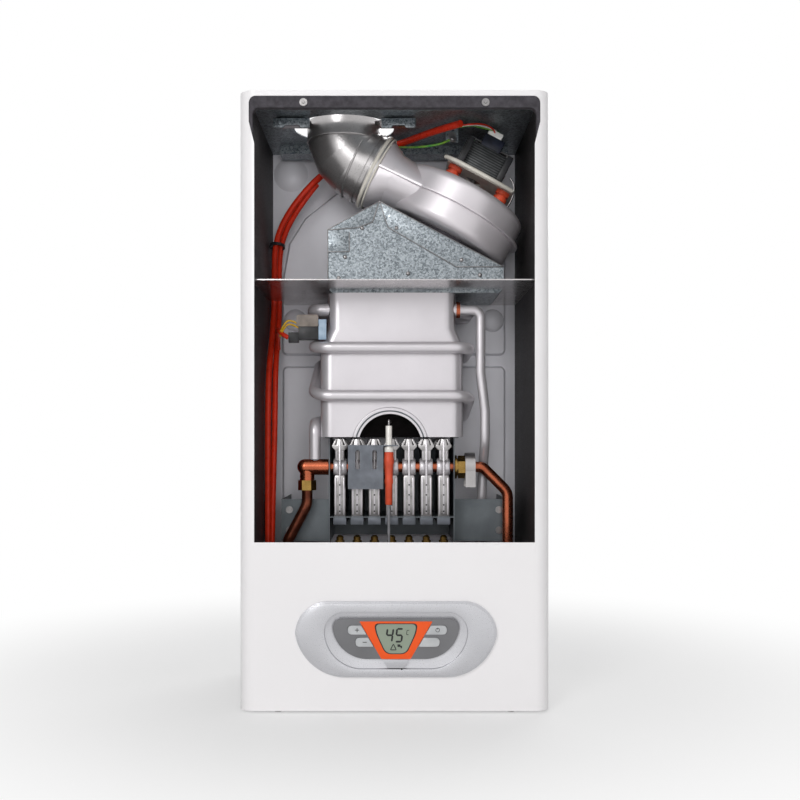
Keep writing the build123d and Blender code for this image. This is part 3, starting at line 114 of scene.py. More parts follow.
def colour(name, what, hex_colour):
    """A colour the user may change."""
    return bpy.props.FloatVectorProperty(name=name, description=what, subtype="COLOR", size=4, min=0, max=1,
                                         default=linear(hex_colour))


def length(name, what, size):
    """A length the user may change, given in millimetres."""
    return bpy.props.FloatProperty(name=name, description=what, subtype="DISTANCE", unit="LENGTH", min=0,
                                   default=mm(size))


class HeaterColours(bpy.types.PropertyGroup):
    """Colours of the heater's finishes."""
    enamel: colour("Enamel", "White powder coat of the casing", "#EDEBEC")
    back_sheet: colour("Back sheet", "Coated sheet of the rear panel", "#EAE9EF")
    zinc_dark: colour("Zinc, dark", "Darker crystals of the galvanised sheet", "#5F666B")
    zinc_light: colour("Zinc, light", "Lighter crystals of the galvanised sheet", "#A6ADB2")
    lining: colour("Lining", "Black lining of the side walls", "#1F1C1D")
    foam: colour("Foam", "Dark foam behind the cover", "#454247")
    steel: colour("Steel", "Bare stainless steel", "#BEBBBB")
    tin: colour("Tin", "Tinned copper of the heat exchanger", "#D6D2D6")
    aluminium: colour("Aluminium", "Drawn aluminium of the fan", "#DCD7DB")
    copper: colour("Copper", "Copper pipe", "#C06A4C")
    brass: colour("Brass", "Brass nuts", "#A5854A")
    sleeve: colour("Sleeve", "Red sleeve over the cables", "#D8331A")
    boot: colour("Boot", "Silicone boot of the electrode", "#DE5638")
    surround: colour("Surround", "Orange surround of the display", "#F0560F")
    silver: colour("Silver", "Silver paint of the control panel", "#CACACE")
    glass: colour("Display", "Background of the liquid crystal display", "#8C9786")


class HeaterSizes(bpy.types.PropertyGroup):
    """Sizes of the fine parts that the scene adds."""
    rivet: length("Rivet", "Radius of the hood's rivets", 2.2)
    seam: length("Seam", "Thickness of the folded hood flaps", 0.9)
    digit: length("Digit", "Height of the display's numbers", 13.0)
    floor: length("Floor", "Half the width of the floor", 6000.0)


# Materials


def add(material, kind, sockets=None, **settings):
    """Add one shader node to a material or world, with its settings, and fill or link its sockets."""
    made = material.node_tree.nodes.new("ShaderNode" + kind)
    for name, value in settings.items():
        setattr(made, name, value)
    for name, value in (sockets or {}).items():
        if isinstance(value, bpy.types.NodeSocket):
            material.node_tree.links.new(value, made.inputs[name])
        else:
            made.inputs[name].default_value = value
    return made


def begin(name):
    """Start a material; gives it and its Object coordinates."""
    material = bpy.data.materials.new(name)
    material.use_nodes = True
    material.node_tree.nodes.clear()
    return material, add(material, "TexCoord").outputs["Object"]


def shade(tone, factor):
    """The same colour, lighter or darker."""
    return tuple(min(1.0, c * factor) for c in tone[:3]) + (1.0,)


def close(material, tone, gloss, height=None, relief=0.0, **shader):
    """End a material: tone and gloss are sockets or plain values, relief is in millimetres."""
    sockets = {"Base Color": tone, "Roughness": gloss}
    sockets.update(shader)
    if height is not None:
        bump = add(material, "Bump", {"Height": height, "Strength": 1.0, "Distance": mm(relief)})
        sockets["Normal"] = bump.outputs[0]
    ending = add(material, "BsdfPrincipled", sockets)
    add(material, "OutputMaterial", {"Surface": ending.outputs[0]})
    return material


def drift(material, where, dark, light, patch, stretch=(1, 1, 1)):
    """A colour that drifts between two tones in patches of that size in millimetres."""
    seat = add(material, "Mapping", {"Vector": where, "Scale": stretch}).outputs[0]
    cloud = add(material, "TexNoise", {"Vector": seat, "Scale": 1000 / patch, "Detail": 3.0}).outputs[0]
    wide = add(material, "MapRange", {"Value": cloud, "From Min": 0.3, "From Max": 0.7}).outputs[0]
    return add(material, "Mix", {0: wide, 6: dark, 7: light}, data_type="RGBA").outputs[2]


def surface(name, dark, light, patch, grain, relief, gloss, stretch=(1, 1, 1), **shader):
    """A plain finish: two close tones in patches, and a grain in its gloss and relief, in millimetres."""
    dark, light = [linear(tone) if isinstance(tone, str) else tone for tone in (dark, light)]
    material, where = begin(name)
    tone = drift(material, where, dark, light, patch)
    seat = add(material, "Mapping", {"Vector": where, "Scale": stretch}).outputs[0]
    fine = add(material, "TexNoise", {"Vector": seat, "Scale": 1000 / grain, "Detail": 4.0}).outputs[0]
    low, high = gloss
    sheen = add(material, "MapRange",
                {"Value": fine, "From Min": 0.3, "From Max": 0.7, "To Min": low, "To Max": high})
    return close(material, tone, sheen.outputs[0], fine, relief, **shader)


def spangled_zinc(name, dark, light, crystal):
    """Hot-dip galvanised sheet: flat zinc crystals that each catch the light in their own way."""
    material, where = begin(name)
    bent = add(material, "TexNoise", {"Vector": where, "Scale": 300.0, "Detail": 2.0}).outputs[1]
    warped = add(material, "Mix", {0: 0.004, 4: where, 5: bent}, data_type="VECTOR").outputs[1]
    cells = add(material, "TexVoronoi", {"Vector": warped, "Scale": 1000 / crystal})
    tint = add(material, "SeparateColor", {"Color": cells.outputs["Color"]})
    fleck = add(material, "TexNoise", {"Vector": where, "Scale": 1000 / 1.4, "Detail": 4.0}).outputs[0]
    both = add(material, "Math", {0: tint.outputs[0], 1: fleck}, operation="ADD").outputs[0]
    mixed = add(material, "MapRange", {"Value": both, "From Min": 0.45, "From Max": 1.45}).outputs[0]
    tone = add(material, "Mix", {0: mixed, 6: dark, 7: light}, data_type="RGBA").outputs[2]
    gloss = add(material, "MapRange", {"Value": tint.outputs[1], "To Min": 0.3, "To Max": 0.5}).outputs[0]
    return close(material, tone, gloss, both, 0.04, Metallic=0.8)


def stacked_laminations(name, dark, light, sheet):
    """Electrical steel stampings stacked along the fan's shaft, whose cut edges show as fine lines."""
    material, where = begin(name)
    turned = add(material, "Mapping", {"Vector": where, "Rotation": (0, math.radians(-fan_tilt), 0)}).outputs[0]
    lines = add(material, "TexWave", {"Vector": turned, "Scale": 1000 / sheet / 2 / math.pi, "Distortion": 0.4},
                bands_direction="Z").outputs["Fac"]
    stain = add(material, "TexNoise", {"Vector": where, "Scale": 120.0, "Detail": 4.0}).outputs[0]
    both = add(material, "Math", {0: lines, 1: stain}, operation="MULTIPLY").outputs[0]
    tone = add(material, "Mix", {0: both, 6: dark, 7: light}, data_type="RGBA").outputs[2]
    return close(material, tone, 0.42, lines, 0.15, Metallic=0.6)


def make_finishes(look):
    """All materials by name, made from the user's colours."""
    plastic = {"IOR": 1.46}
    made = {}

    def plain(name, *rest, **shader):
        made[name] = surface(name, *rest, **shader)

    # Polyester powder coat on steel: white, half gloss, with a very shallow orange peel
    plain("powder_coat", shade(look.enamel, 0.98), look.enamel, 160, 1.6, 0.006, (0.30, 0.36), IOR=1.5)
    # Aluminised steel sheet: pale, dull and slightly cloudy
    plain("aluminised_sheet", shade(look.back_sheet, 0.9), look.back_sheet, 70, 2.2, 0.012, (0.34, 0.46),
          Metallic=0.15, IOR=1.5)
    # Galvanised sheet: minimised spangle, a fine salt-and-pepper of crystals about 2 mm across
    made["galvanised_sheet"] = spangled_zinc("galvanised_sheet", look.zinc_dark, look.zinc_light, 1.7)
    # Slate-grey coated brackets beside the burner
    plain("slate_coat", "#585E62", "#6E7478", 30, 1.2, 0.01, (0.35, 0.5), Metallic=0.3)
    # Blue-grey phosphated plate of the electrode's bracket
    plain("phosphated_plate", "#5F636A", "#757981", 12, 1.0, 0.015, (0.4, 0.55), Metallic=0.4)
    # Painted shade: near-black for the inside of the jacket, which lies in shade deep in the chamber
    plain("painted_chamber_shade", "#171415", "#2A2526", 14, 1.6, 0.05, (0.6, 0.8), IOR=1.5)
    # Old 12 mm copper with a brown oxide skin
    plain("browned_copper", "#4A2419", "#7E4531", 12, 1.4, 0.02, (0.28, 0.42), Metallic=0.85)
    # Black paint over glass-fibre lining: nearly matt, faintly rough
    plain("lining_paint", look.lining, shade(look.lining, 1.8), 30, 1.5, 0.05, (0.5, 0.7), IOR=1.5)
    # Closed-cell foam: matt, dark and full of small pits
    plain("cell_foam", shade(look.foam, 0.6), shade(look.foam, 1.15), 5, 1.1, 0.25, (0.85, 0.95), IOR=1.5)
    # Polished aluminised shelf: mirrors what stands near it, with faint rolling marks
    plain("polished_shelf", shade(look.steel, 0.95), shade(look.steel, 1.25), 60, 3.0, 0.004, (0.2, 0.32),
          (1, 12, 1), Metallic=1.0)
    # Stainless steel ground along its length: fine streaks that stretch the highlights
    plain("ground_stainless", shade(look.steel, 0.78), look.steel, 24, 1.0, 0.01, (0.24, 0.38), (1, 1, 9),
          Metallic=1.0)
    # Ground stainless of the elbow: streaks run round the pipe
    plain("brushed_elbow", shade(look.steel, 0.8), look.steel, 18, 1.2, 0.012, (0.26, 0.36), (0.6, 3, 3),
          Metallic=0.85)
    # Rolled stainless of the burner: a little dull, with warm heat tint here and there
    plain("burner_stainless", shade(look.steel, 0.55), shade(look.steel, 0.95), 9, 1.4, 0.02, (0.26, 0.45),
          Metallic=1.0)
    # Drawn aluminium of the fan housing: satin, soft wide highlights
    plain("drawn_aluminium", shade(look.aluminium, 0.94), look.aluminium, 40, 1.0, 0.006, (0.36, 0.44),
          Metallic=0.45, IOR=1.6)
    # Die-cast aluminium: grainy and dull
    plain("cast_aluminium", shade(look.aluminium, 0.7), look.aluminium, 8, 0.9, 0.06, (0.45, 0.6), Metallic=0.9)
    # Hot-tinned copper: bright, satin, with soft runs in the coat
    plain("tin_coat", shade(look.tin, 0.93), look.tin, 40, 7.0, 0.02, (0.3, 0.36), Metallic=0.5, IOR=1.6)
    # Copper pipe straight from the bender: warm, slightly stained
    plain("copper_pipe", shade(look.copper, 0.72), look.copper, 14, 1.4, 0.015, (0.22, 0.38), Metallic=1.0)
    # Machined brass: yellow, bright, with faint turning marks
    plain("turned_brass", shade(look.brass, 0.7), look.brass, 6, 0.8, 0.015, (0.22, 0.36), (1, 1, 4),
          Metallic=1.0)
    # Bright zinc plate on screws and clips
    plain("zinc_plate", shade(look.steel, 0.5), shade(look.steel, 0.68), 5, 0.7, 0.01, (0.26, 0.38),
          Metallic=1.0)
    # Silicone-coated glass sleeve: glossy red with shallow creases
    plain("silicone_sleeve", shade(look.sleeve, 0.8), look.sleeve, 9, 3.0, 0.12, (0.25, 0.42), IOR=1.43)
    # Moulded silicone rubber of the boot and the fan's mounts
    plain("silicone_rubber", shade(look.boot, 0.72), look.boot, 12, 1.0, 0.03, (0.34, 0.46), IOR=1.43)
    # Glazed alumina ceramic
    plain("glazed_ceramic", "#DEDAD5", "#F0ECE6", 8, 1.0, 0.004, (0.12, 0.18), IOR=1.6)
    # Moulded black polyamide
    plain("black_polyamide", "#161617", "#2A2A2D", 10, 0.8, 0.02, (0.35, 0.5), **plastic)
    # Blue-black polyamide of the motor's terminal block
    plain("dark_blue_polyamide", "#14161F", "#272B3B", 8, 0.8, 0.02, (0.3, 0.45), **plastic)
    # White polyamide of plugs
    plain("white_polyamide", "#DDDCD8", "#EFEEEA", 10, 0.8, 0.01, (0.32, 0.42), **plastic)
    # Taupe phenolic of the cut-out's cap
    plain("taupe_phenolic", "#6E655E", "#8A8078", 9, 0.7, 0.02, (0.35, 0.5), **plastic)
    # Pale blue clip of the cut-out
    plain("blue_polyamide", "#7F97AE", "#A3B6C8", 8, 0.7, 0.01, (0.3, 0.4), **plastic)
    # Cream paint of the fan's bracket
    plain("cream_paint", "#C9C4BA", "#DEDAD0", 20, 0.9, 0.01, (0.35, 0.45), IOR=1.5)
    # Enamelled copper wire of the windings
    plain("winding_wire", "#5A2B18", "#9A5632", 4, 0.6, 0.15, (0.3, 0.42), (1, 6, 1), Metallic=0.6)
    # Silver-painted ABS of the control panel: metallic paint, soft gloss
    plain("silver_paint", shade(look.silver, 0.93), look.silver, 50, 0.7, 0.001, (0.27, 0.3), Metallic=0.75)
    # Darker silver paint of the panel's middle
    plain("satin_silver", shade(look.silver, 0.28), shade(look.silver, 0.34), 40, 0.7, 0.004, (0.36, 0.42),
          Metallic=0.7)
    # Printed orange film, half gloss
    plain("orange_film", shade(look.surround, 0.94), look.surround, 30, 0.8, 0.003, (0.3, 0.36), IOR=1.5)
    # Liquid crystal glass: grey-green and glossy
    plain("crystal_glass", shade(look.glass, 0.94), look.glass, 14, 0.6, 0.001, (0.08, 0.12), IOR=1.5)
    # Grey rubbery buttons
    plain("button_rubber", "#AEB0B2", "#BFC1C3", 12, 0.7, 0.01, (0.4, 0.5), IOR=1.5)
    # Black print
    plain("black_print", "#0E100F", "#1B1D1B", 4, 0.5, 0.002, (0.4, 0.5), IOR=1.5)
    # Epoxy glass board with green mask
    plain("board_green", "#1C5A35", "#2A7A49", 12, 0.8, 0.02, (0.3, 0.4), IOR=1.5)
    # Wire insulation
    plain("red_wire", "#B4200F", "#DA3A22", 6, 0.8, 0.01, (0.3, 0.4), IOR=1.5)
    plain("white_wire", "#D6D4CF", "#EDEBE6", 6, 0.8, 0.01, (0.3, 0.4), IOR=1.5)
    plain("green_wire", "#2E8A3E", "#8FB23A", 7, 0.8, 0.01, (0.3, 0.4), IOR=1.5)
    plain("yellow_wire", "#C79A18", "#E3B92F", 6, 0.8, 0.01, (0.3, 0.4), IOR=1.5)
    plain("grey_wire", "#77777A", "#929296", 6, 0.8, 0.01, (0.3, 0.4), IOR=1.5)
    # Stator of the fan's motor: half-millimetre stampings, drawn 1.4 mm apart so that the lines show
    made["stacked_laminations"] = stacked_laminations("stacked_laminations", linear("#2C2E2F"),
                                                      linear("#77797A"), 1.4)
    return made


finishes = {}


def finish(name):
    """A finish by name. All are made at the first call."""
    if not finishes:
        finishes.update(make_finishes(bpy.context.scene.heater_colours))
    return finishes[name]


def coat(name, *nodes):
    """Give CAD nodes, whose shape stays as it is, their finish."""
    for node in nodes:
        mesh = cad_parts[node].data
        mesh.materials.clear()
        mesh.materials.append(finish(name))


# Shaping


def clear():
    """Leave edit mode and deselect everything."""
    if bpy.context.object and bpy.context.object.mode != "OBJECT":
        bpy.ops.object.mode_set(mode="OBJECT")
    bpy.ops.object.select_all(action="DESELECT")


def hold(obj):
    """Select this object alone and make it active."""
    clear()
    obj.select_set(True)
    bpy.context.view_layer.objects.active = obj
    return obj


def settle(obj, name, finish_name=None, body="heater"):
    """Name a piece, put its place in its mesh, give it a finish and let it ride on a body."""
    hold(obj)
    bpy.ops.object.transform_apply()
    obj.name = obj.data.name = name
    if finish_name:
        obj.data.materials.clear()
        obj.data.materials.append(finish(finish_name))
    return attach(obj, body)


def rounded(obj, width, segments=2, angle=35):
    """Round a piece's sharp edges."""
    hold(obj)
    bevel = obj.modifiers.new("edge", "BEVEL")
    bevel.width, bevel.segments = mm(width), segments
    bevel.limit_method, bevel.angle_limit = "ANGLE", math.radians(angle)
    bpy.ops.object.modifier_apply(modifier=bevel.name)
    bpy.ops.object.shade_smooth_by_angle(angle=math.radians(40))
    return obj


def joined(parts):
    """Several pieces as one object."""
    clear()
    for part in parts:
        part.select_set(True)
    bpy.context.view_layer.objects.active = parts[0]
    if len(parts) > 1:
        bpy.ops.object.join()
    return parts[0]


def edit_all():
    """Enter edit mode with all of the active piece selected."""
    bpy.ops.object.mode_set(mode="EDIT")
    bpy.ops.mesh.select_all(action="SELECT")


def panel(corners, y, thick):
    """A plate whose outline is seen from the front: corners are x, z, and it comes forward from y."""
    clear()
    bpy.ops.mesh.primitive_circle_add(vertices=len(corners), fill_type="NGON")
    made = bpy.context.object
    for corner, (x, z) in zip(made.data.vertices, corners):
        corner.co = at(x, y, z)
    edit_all()
    bpy.ops.mesh.extrude_region_move(TRANSFORM_OT_translate={"value": (0, -mm(thick), 0)})
    bpy.ops.mesh.select_all(action="SELECT")
    bpy.ops.mesh.normals_make_consistent(inside=False)
    bpy.ops.object.mode_set(mode="OBJECT")
    return made


def box(low, high):
    """A block between two corners, to be shaped further."""
    clear()
    middle = [(a + b) / 2 for a, b in zip(low, high)]
    size = [mm(abs(b - a)) for a, b in zip(low, high)]
    bpy.ops.mesh.primitive_cube_add(size=1, location=at(*middle), scale=size)
    made = bpy.context.object
    bpy.ops.object.transform_apply()
    return made


def aimed(made, place, direction, smooth):
    """Put a round piece at its place in metres, with its axis along direction, and smooth it up to an angle."""
    made.rotation_mode = "QUATERNION"
    made.rotation_quaternion = Vector(direction).to_track_quat("Z", "Y")
    made.location = place
    bpy.ops.object.transform_apply()
    bpy.ops.object.shade_smooth_by_angle(angle=math.radians(smooth))
    return made


def turned(profile, place, direction, around=24):
    """A turned piece: profile gives height and radius pairs along direction from place, in millimetres."""
    clear()
    first = profile[0]
    bpy.ops.mesh.primitive_circle_add(vertices=around, radius=mm(first[1]), fill_type="NGON")
    made = bpy.context.object
    edit_all()
    for (h0, r0), (h1, r1) in zip(profile, profile[1:]):
        bpy.ops.mesh.extrude_region_move(TRANSFORM_OT_translate={"value": (0, 0, mm(h1 - h0))})
        bpy.ops.transform.resize(value=(r1 / r0, r1 / r0, 1), center_override=(0, 0, mm(h1 - h0)))
    bpy.ops.mesh.select_all(action="SELECT")
    bpy.ops.mesh.normals_make_consistent(inside=False)
    bpy.ops.object.mode_set(mode="OBJECT")
    return aimed(made, at(*place), direction, 35)


def band(radius, low, high, thick, place=(0, 0, 0), direction=(0, 0, 1)):
    """A round of sheet between two heights along direction from place."""
    clear()
    bpy.ops.mesh.primitive_cylinder_add(vertices=96, radius=mm(radius), depth=mm(high - low),
                                        end_fill_type="NOTHING")
    made = bpy.context.object
    skin = made.modifiers.new("skin", "SOLIDIFY")
    skin.thickness, skin.offset = mm(thick), 0
    bpy.ops.object.modifier_apply(modifier=skin.name)
    way = Vector(direction).normalized()
    return aimed(made, at(*place) + way * mm((low + high) / 2), way, 40)


def bead(radius, thick, place, direction, flat=1.0):
    """A rolled or pressed bead that runs round a pipe or an opening."""
    clear()
    bpy.ops.mesh.primitive_torus_add(major_radius=mm(radius), minor_radius=mm(thick), major_segments=96,
                                     minor_segments=14)
    made = bpy.context.object
    made.scale.z = flat
    return aimed(made, at(*place), direction, 60)


def halved(obj, point, normal):
    """Cut a piece at a plane, drop what lies beyond it and close the cut."""
    hold(obj)
    edit_all()
    bpy.ops.mesh.bisect(plane_co=at(*point), plane_no=normal, clear_outer=True, use_fill=True)
    bpy.ops.object.mode_set(mode="OBJECT")
    return obj


def softened(corners, radii, steps=5):
    """An outline with rounded corners: one radius for each corner, in millimetres."""
    line = []
    for i, corner in enumerate(corners):
        here = Vector(corner)
        before, after = Vector(corners[i - 1]) - here, Vector(corners[(i + 1) % len(corners)]) - here
        start, end = here + before.normalized() * radii[i], here + after.normalized() * radii[i]
        for j in range(steps + 1):
            t = j / steps
            line.append(tuple(start * (1 - t) ** 2 + here * 2 * t * (1 - t) + end * t * t))
    return line


def painted(obj, finish_name):
    """Give a part its finish before it is joined to others."""
    obj.data.materials.clear()
    obj.data.materials.append(finish(finish_name))
    return obj


def tube(points, radius, sides=5):
    """A sleeve or wire along a smooth line through or near the points, with rounded ends."""
    line = bpy.data.curves.new("line", "CURVE")
    line.dimensions, line.resolution_u, line.bevel_resolution = "3D", 10, sides
    line.bevel_depth, line.use_fill_caps = mm(radius), True
    run = line.splines.new("NURBS")
    run.points.add(len(points) - 1)
    for spot, point in zip(run.points, points):
        spot.co = (*at(*point), 1)
    run.order_u, run.use_endpoint_u = 3, True
    made = bpy.data.objects.new("line", line)
    bpy.context.scene.collection.objects.link(made)
    hold(made)
    bpy.ops.object.convert(target="MESH")
    made = bpy.context.object
    bpy.ops.object.shade_smooth_by_angle(angle=math.radians(50))
    return made


def cad_copy(node):
    """A merged copy of a CAD node's mesh, free to be reshaped or painted in parts."""
    clear()
    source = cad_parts[node]
    made = bpy.data.objects.new(node + "_copy", source.data.copy())
    bpy.context.scene.collection.objects.link(made)
    made.matrix_world = source.matrix_world
    hold(made)
    edit_all()
    bpy.ops.mesh.remove_doubles(threshold=1e-6)
    bpy.ops.mesh.tris_convert_to_quads(face_threshold=0.02, shape_threshold=0.02)
    bpy.ops.object.mode_set(mode="OBJECT")
    return made


def dressed(node, name, rules, edge=0.0, body="heater"):
    """A copy of a node in several finishes: rules pairs each finish with a test on a face's middle."""
    made = cad_copy(node)
    made.data.materials.clear()
    for finish_name, _ in rules:
        made.data.materials.append(finish(finish_name))
    for face in made.data.polygons:
        middle = tuple(1000 * c for c in face.center)
        face.material_index = next(i for i, (_, test) in enumerate(rules) if test(middle, face.normal))
    if edge:
        rounded(made, edge)
    settle(made, name, None, body)
    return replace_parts(made, node)


def always(p, n):
    """The test that any face passes."""
    return True


# The stage


class HEATER_OT_stage(bpy.types.Operator):
    """Floor, lamps, background and the camera at the photograph's viewing angle"""
    bl_idname = "heater.stage"
    bl_label = "Stage"

    def execute(self, context):
        scene = context.scene
        clear()
        half = scene.heater_sizes.floor
        low = cad_box[0][2]
        bpy.ops.mesh.primitive_grid_add(x_subdivisions=4, y_subdivisions=4, size=2 * half,
                                        location=(0, 0, low - mm(0.5)))
        floor = context.object
        floor.name = "floor"
        material, where = begin("floor_white")
        cloud = add(material, "TexNoise", {"Vector": where, "Scale": 2.0}).outputs[0]
        tone = add(material, "Mix", {0: cloud, 6: linear("#F4F4F4"), 7: linear("#F8F8F8")},
                   data_type="RGBA").outputs[2]
        # Away from the heater the floor goes over into plain white, seen straight or in metal and glass
        spread = add(material, "VectorMath", {0: where}, operation="LENGTH").outputs["Value"]
        rays = add(material, "LightPath").outputs
        seen = add(material, "Math", {0: rays["Is Camera Ray"], 1: rays["Is Glossy Ray"]},
                   operation="MAXIMUM").outputs[0]
        seen = add(material, "Math", {0: seen, 1: rays["Is Transmission Ray"]}, operation="MAXIMUM").outputs[0]
        far = add(material, "MapRange", {"Value": spread, "From Min": 0.2, "From Max": 0.75, "To Min": 0.35},
                  interpolation_type="SMOOTHSTEP").outputs[0]
        share = add(material, "Math", {0: seen, 1: far}, operation="MULTIPLY").outputs[0]
        paint = add(material, "BsdfPrincipled", {"Base Color": tone, "Roughness": 0.9}).outputs[0]
        white = add(material, "Emission", {"Color": (1, 1, 1, 1), "Strength": 1.0}).outputs[0]
        both = add(material, "MixShader", {0: share, 1: paint, 2: white}).outputs[0]
        add(material, "OutputMaterial", {"Surface": both})
        floor.data.materials.append(material)

        world = bpy.data.worlds.new("studio")
        scene.world = world
        world.use_nodes = True
        world.node_tree.nodes.clear()
        rays = add(world, "LightPath").outputs
        seen = add(world, "Math", {0: rays["Is Camera Ray"], 1: rays["Is Transmission Ray"]},
                   operation="MAXIMUM").outputs[0]
        seen = add(world, "Math", {0: seen, 1: rays["Is Glossy Ray"]}, operation="MAXIMUM").outputs[0]
        level = add(world, "MapRange", {"Value": seen, "To Min": 0.3, "To Max": 1.0}).outputs[0]
        sky = add(world, "Background", {"Color": (1, 1, 1, 1), "Strength": level}).outputs[0]
        add(world, "OutputWorld", {"Surface": sky})

        for name, place, power, size in (("key", (-820, -2100, 760), 13, 0.7),
                                         ("fill", (100, -2400, 160), 17, 0.8),
                                         ("back", (500, 1500, 1100), 16, 1.4)):
            clear()
            bpy.ops.object.light_add(type="AREA", location=at(*place))
            lamp = context.object
            lamp.name, lamp.data.energy, lamp.data.size = name, power, size
            # The fill shines straight in, so metal that faces it would mirror it as a hot spot
            lamp.visible_glossy = name != "fill"
            lamp.rotation_mode = "QUATERNION"
            lamp.rotation_quaternion = (at(*place) - at(0, -100, 20)).to_track_quat("Z", "Y")

        clear()
        bpy.ops.object.camera_add(location=(-0.0036, -1.324, -0.0405), rotation=(math.radians(90), 0, 0))
        camera = context.object
        camera.data.sensor_width, camera.data.lens = 36, 48.26
        camera.data.shift_x, camera.data.shift_y = 0.01125, 0.05
        camera.data.clip_start, camera.data.clip_end = 0.01, 50
        scene.camera = camera
        scene.view_settings.view_transform = "Standard"
        return {"FINISHED"}


class HEATER_OT_casing(bpy.types.Operator):
    """Finishes of the cover, the panels, the lining, the shelf and the foam"""
    bl_idname = "heater.casing"
    bl_label = "Casing"

    def execute(self, context):
        coat("powder_coat", "front_cover")
        coat("aluminised_sheet", "rear_panel", "bottom_plate")
        coat("lining_paint", "side_walls")
        coat("cell_foam", "foam_seals")
        coat("polished_shelf", "support_shelf")
        coat("galvanised_sheet", "top_plate")
        coat("slate_coat", "burner_brackets")
        coat("zinc_plate", "fixing_screws")
        # Half domes pressed in the rear panel under the shelf
        domes = []
        for x, z in half_domes:
            domes.append(turned([(0, 14), (2, 13.6), (3.6, 12), (5, 9), (6, 5), (6.3, 1.5)],
                                (x, rear_field_front, z), forward, 48))
        settle(joined(domes), "rear_domes", "aluminised_sheet")
        # Painted shade: a black disc round the bright zinc pin of each ring-headed screw, for the shade in its
        # eye
        eyes = []
        for x, z in gasket_screws:
            place = (x, gasket_face, z)
            eyes.append(painted(turned([(0, 2.6), (0.5, 2.6)], place, forward, 20), "black_print"))
            eyes.append(painted(turned([(0, 1.5), (0.8, 1.3)], place, forward, 16), "zinc_plate"))
        settle(joined(eyes), "ring_screw_eyes")
        return {"FINISHED"}


class HEATER_OT_flue(bpy.types.Operator):
    """Finishes of the collar, its clips, the elbow and the outlet band"""
    bl_idname = "heater.flue"
    bl_label = "Flue"

    def execute(self, context):
        coat("brushed_elbow", "flue_elbow", "fan_outlet_band")
        coat("ground_stainless", "flue_collar")
        # The skirt under the collar, and the beads that hold the elbow's gores together
        skirt = [band(41.2, 295, 311, 0.9, flue_axis), bead(41.4, 0.8, (-56.5, -110, 295.6), (0, 0, 1)),
                 bead(40.3, 1.1, (-43, -110, 272), (0.9, 0, -0.43))]
        settle(joined(skirt), "collar_skirt", "brushed_elbow")
        ring = [bead(41.4, 2.3, (-21.5, -110, 262), outlet_axis),
                bead(41.8, 1.1, (-17.6, -110, 260), outlet_axis)]
        settle(joined(ring), "elbow_ring", "cream_paint")
        # Galvanised clips that hold the collar to the ceiling
        clips = []
        for x0, x1 in ((-132, -92), (-14, 23)):
            clips.append(panel([(x0, 299), (x0 + 11, 299), (x0 + 13, 302), (x1 - 12, 302), (x1 - 10, 299),
                                (x1, 299), (x1, 309.5), (x0, 309.5)], -155, 4))
            clips.append(box((x0 + 3, -155, 308), (x1 - 3, -140, 309.5)))
            clips.append(turned([(0, 3.2), (1.4, 3.0), (2.2, 1.8)], (x0 + 7, -158.9, 304.5), forward, 6))
        settle(rounded(joined(clips), 0.4), "collar_clips", "galvanised_sheet")
        return {"FINISHED"}


class HEATER_OT_fan(bpy.types.Operator):
    """The fan's housing, mounts and motor"""
    bl_idname = "heater.fan"
    bl_label = "Fan"

    def execute(self, context):
        coat("drawn_aluminium", "fan_housing_lower", "fan_housing_upper")
        coat("cast_aluminium", "fan_impeller")
        coat("silicone_rubber", "fan_dampers")
        coat("cream_paint", "fan_bracket")
        coat("zinc_plate", "motor_bridges")
        dressed("motor_stator", "stator_stack", [
            ("winding_wire", lambda p, n: abs(in_fan(p)[0]) < 17.05 and in_fan(p)[1] > 29.9 and not (
                abs(in_fan(p)[1] - 39) < 4.9 and abs(in_fan(p)[2] - 66.6) < 9.9)),
            ("stacked_laminations", always)], 0.6)
        dressed("motor_shaft", "rotor_and_disc", [
            ("black_polyamide", lambda p, n: in_fan(p)[2] > 93.0 and math.hypot(*in_fan(p)[:2]) > 3.2),
            ("ground_stainless", always)], 0.0, "fan_rotor")
        dressed("motor_terminal", "terminal_block", [
            ("white_polyamide", lambda p, n: in_fan(p)[2] > 95.62), ("dark_blue_polyamide", always)], 0.7)
        # Bent wire clip and strap that hold the motor
        clip = tube([fan_at(36, -34, 60), fan_at(44, -36, 56), fan_at(49, -36, 40), fan_at(47, -36, 22),
                     fan_at(52, -36, 14), fan_at(47, -36, 8)], 1.1)
        settle(clip, "motor_wire_clip", "zinc_plate")
        strap = tube([fan_at(-38, -38, 47), fan_at(-30, -52, 45), fan_at(0, -60, 43), fan_at(30, -54, 44),
                      fan_at(44, -40, 47)], 2.4)
        settle(strap, "motor_strap", "cream_paint")
        plates = [painted(rounded(box((u, -34, 52), (u + 7, -29.5, 82)), 0.8), "black_polyamide")
                  for u in (-26, 22)]
        ends = joined(plates)
        for spot in ends.data.vertices:
            spot.co = at(*fan_at(*(1000 * c for c in spot.co)))
        settle(ends, "motor_end_plates")
        return {"FINISHED"}


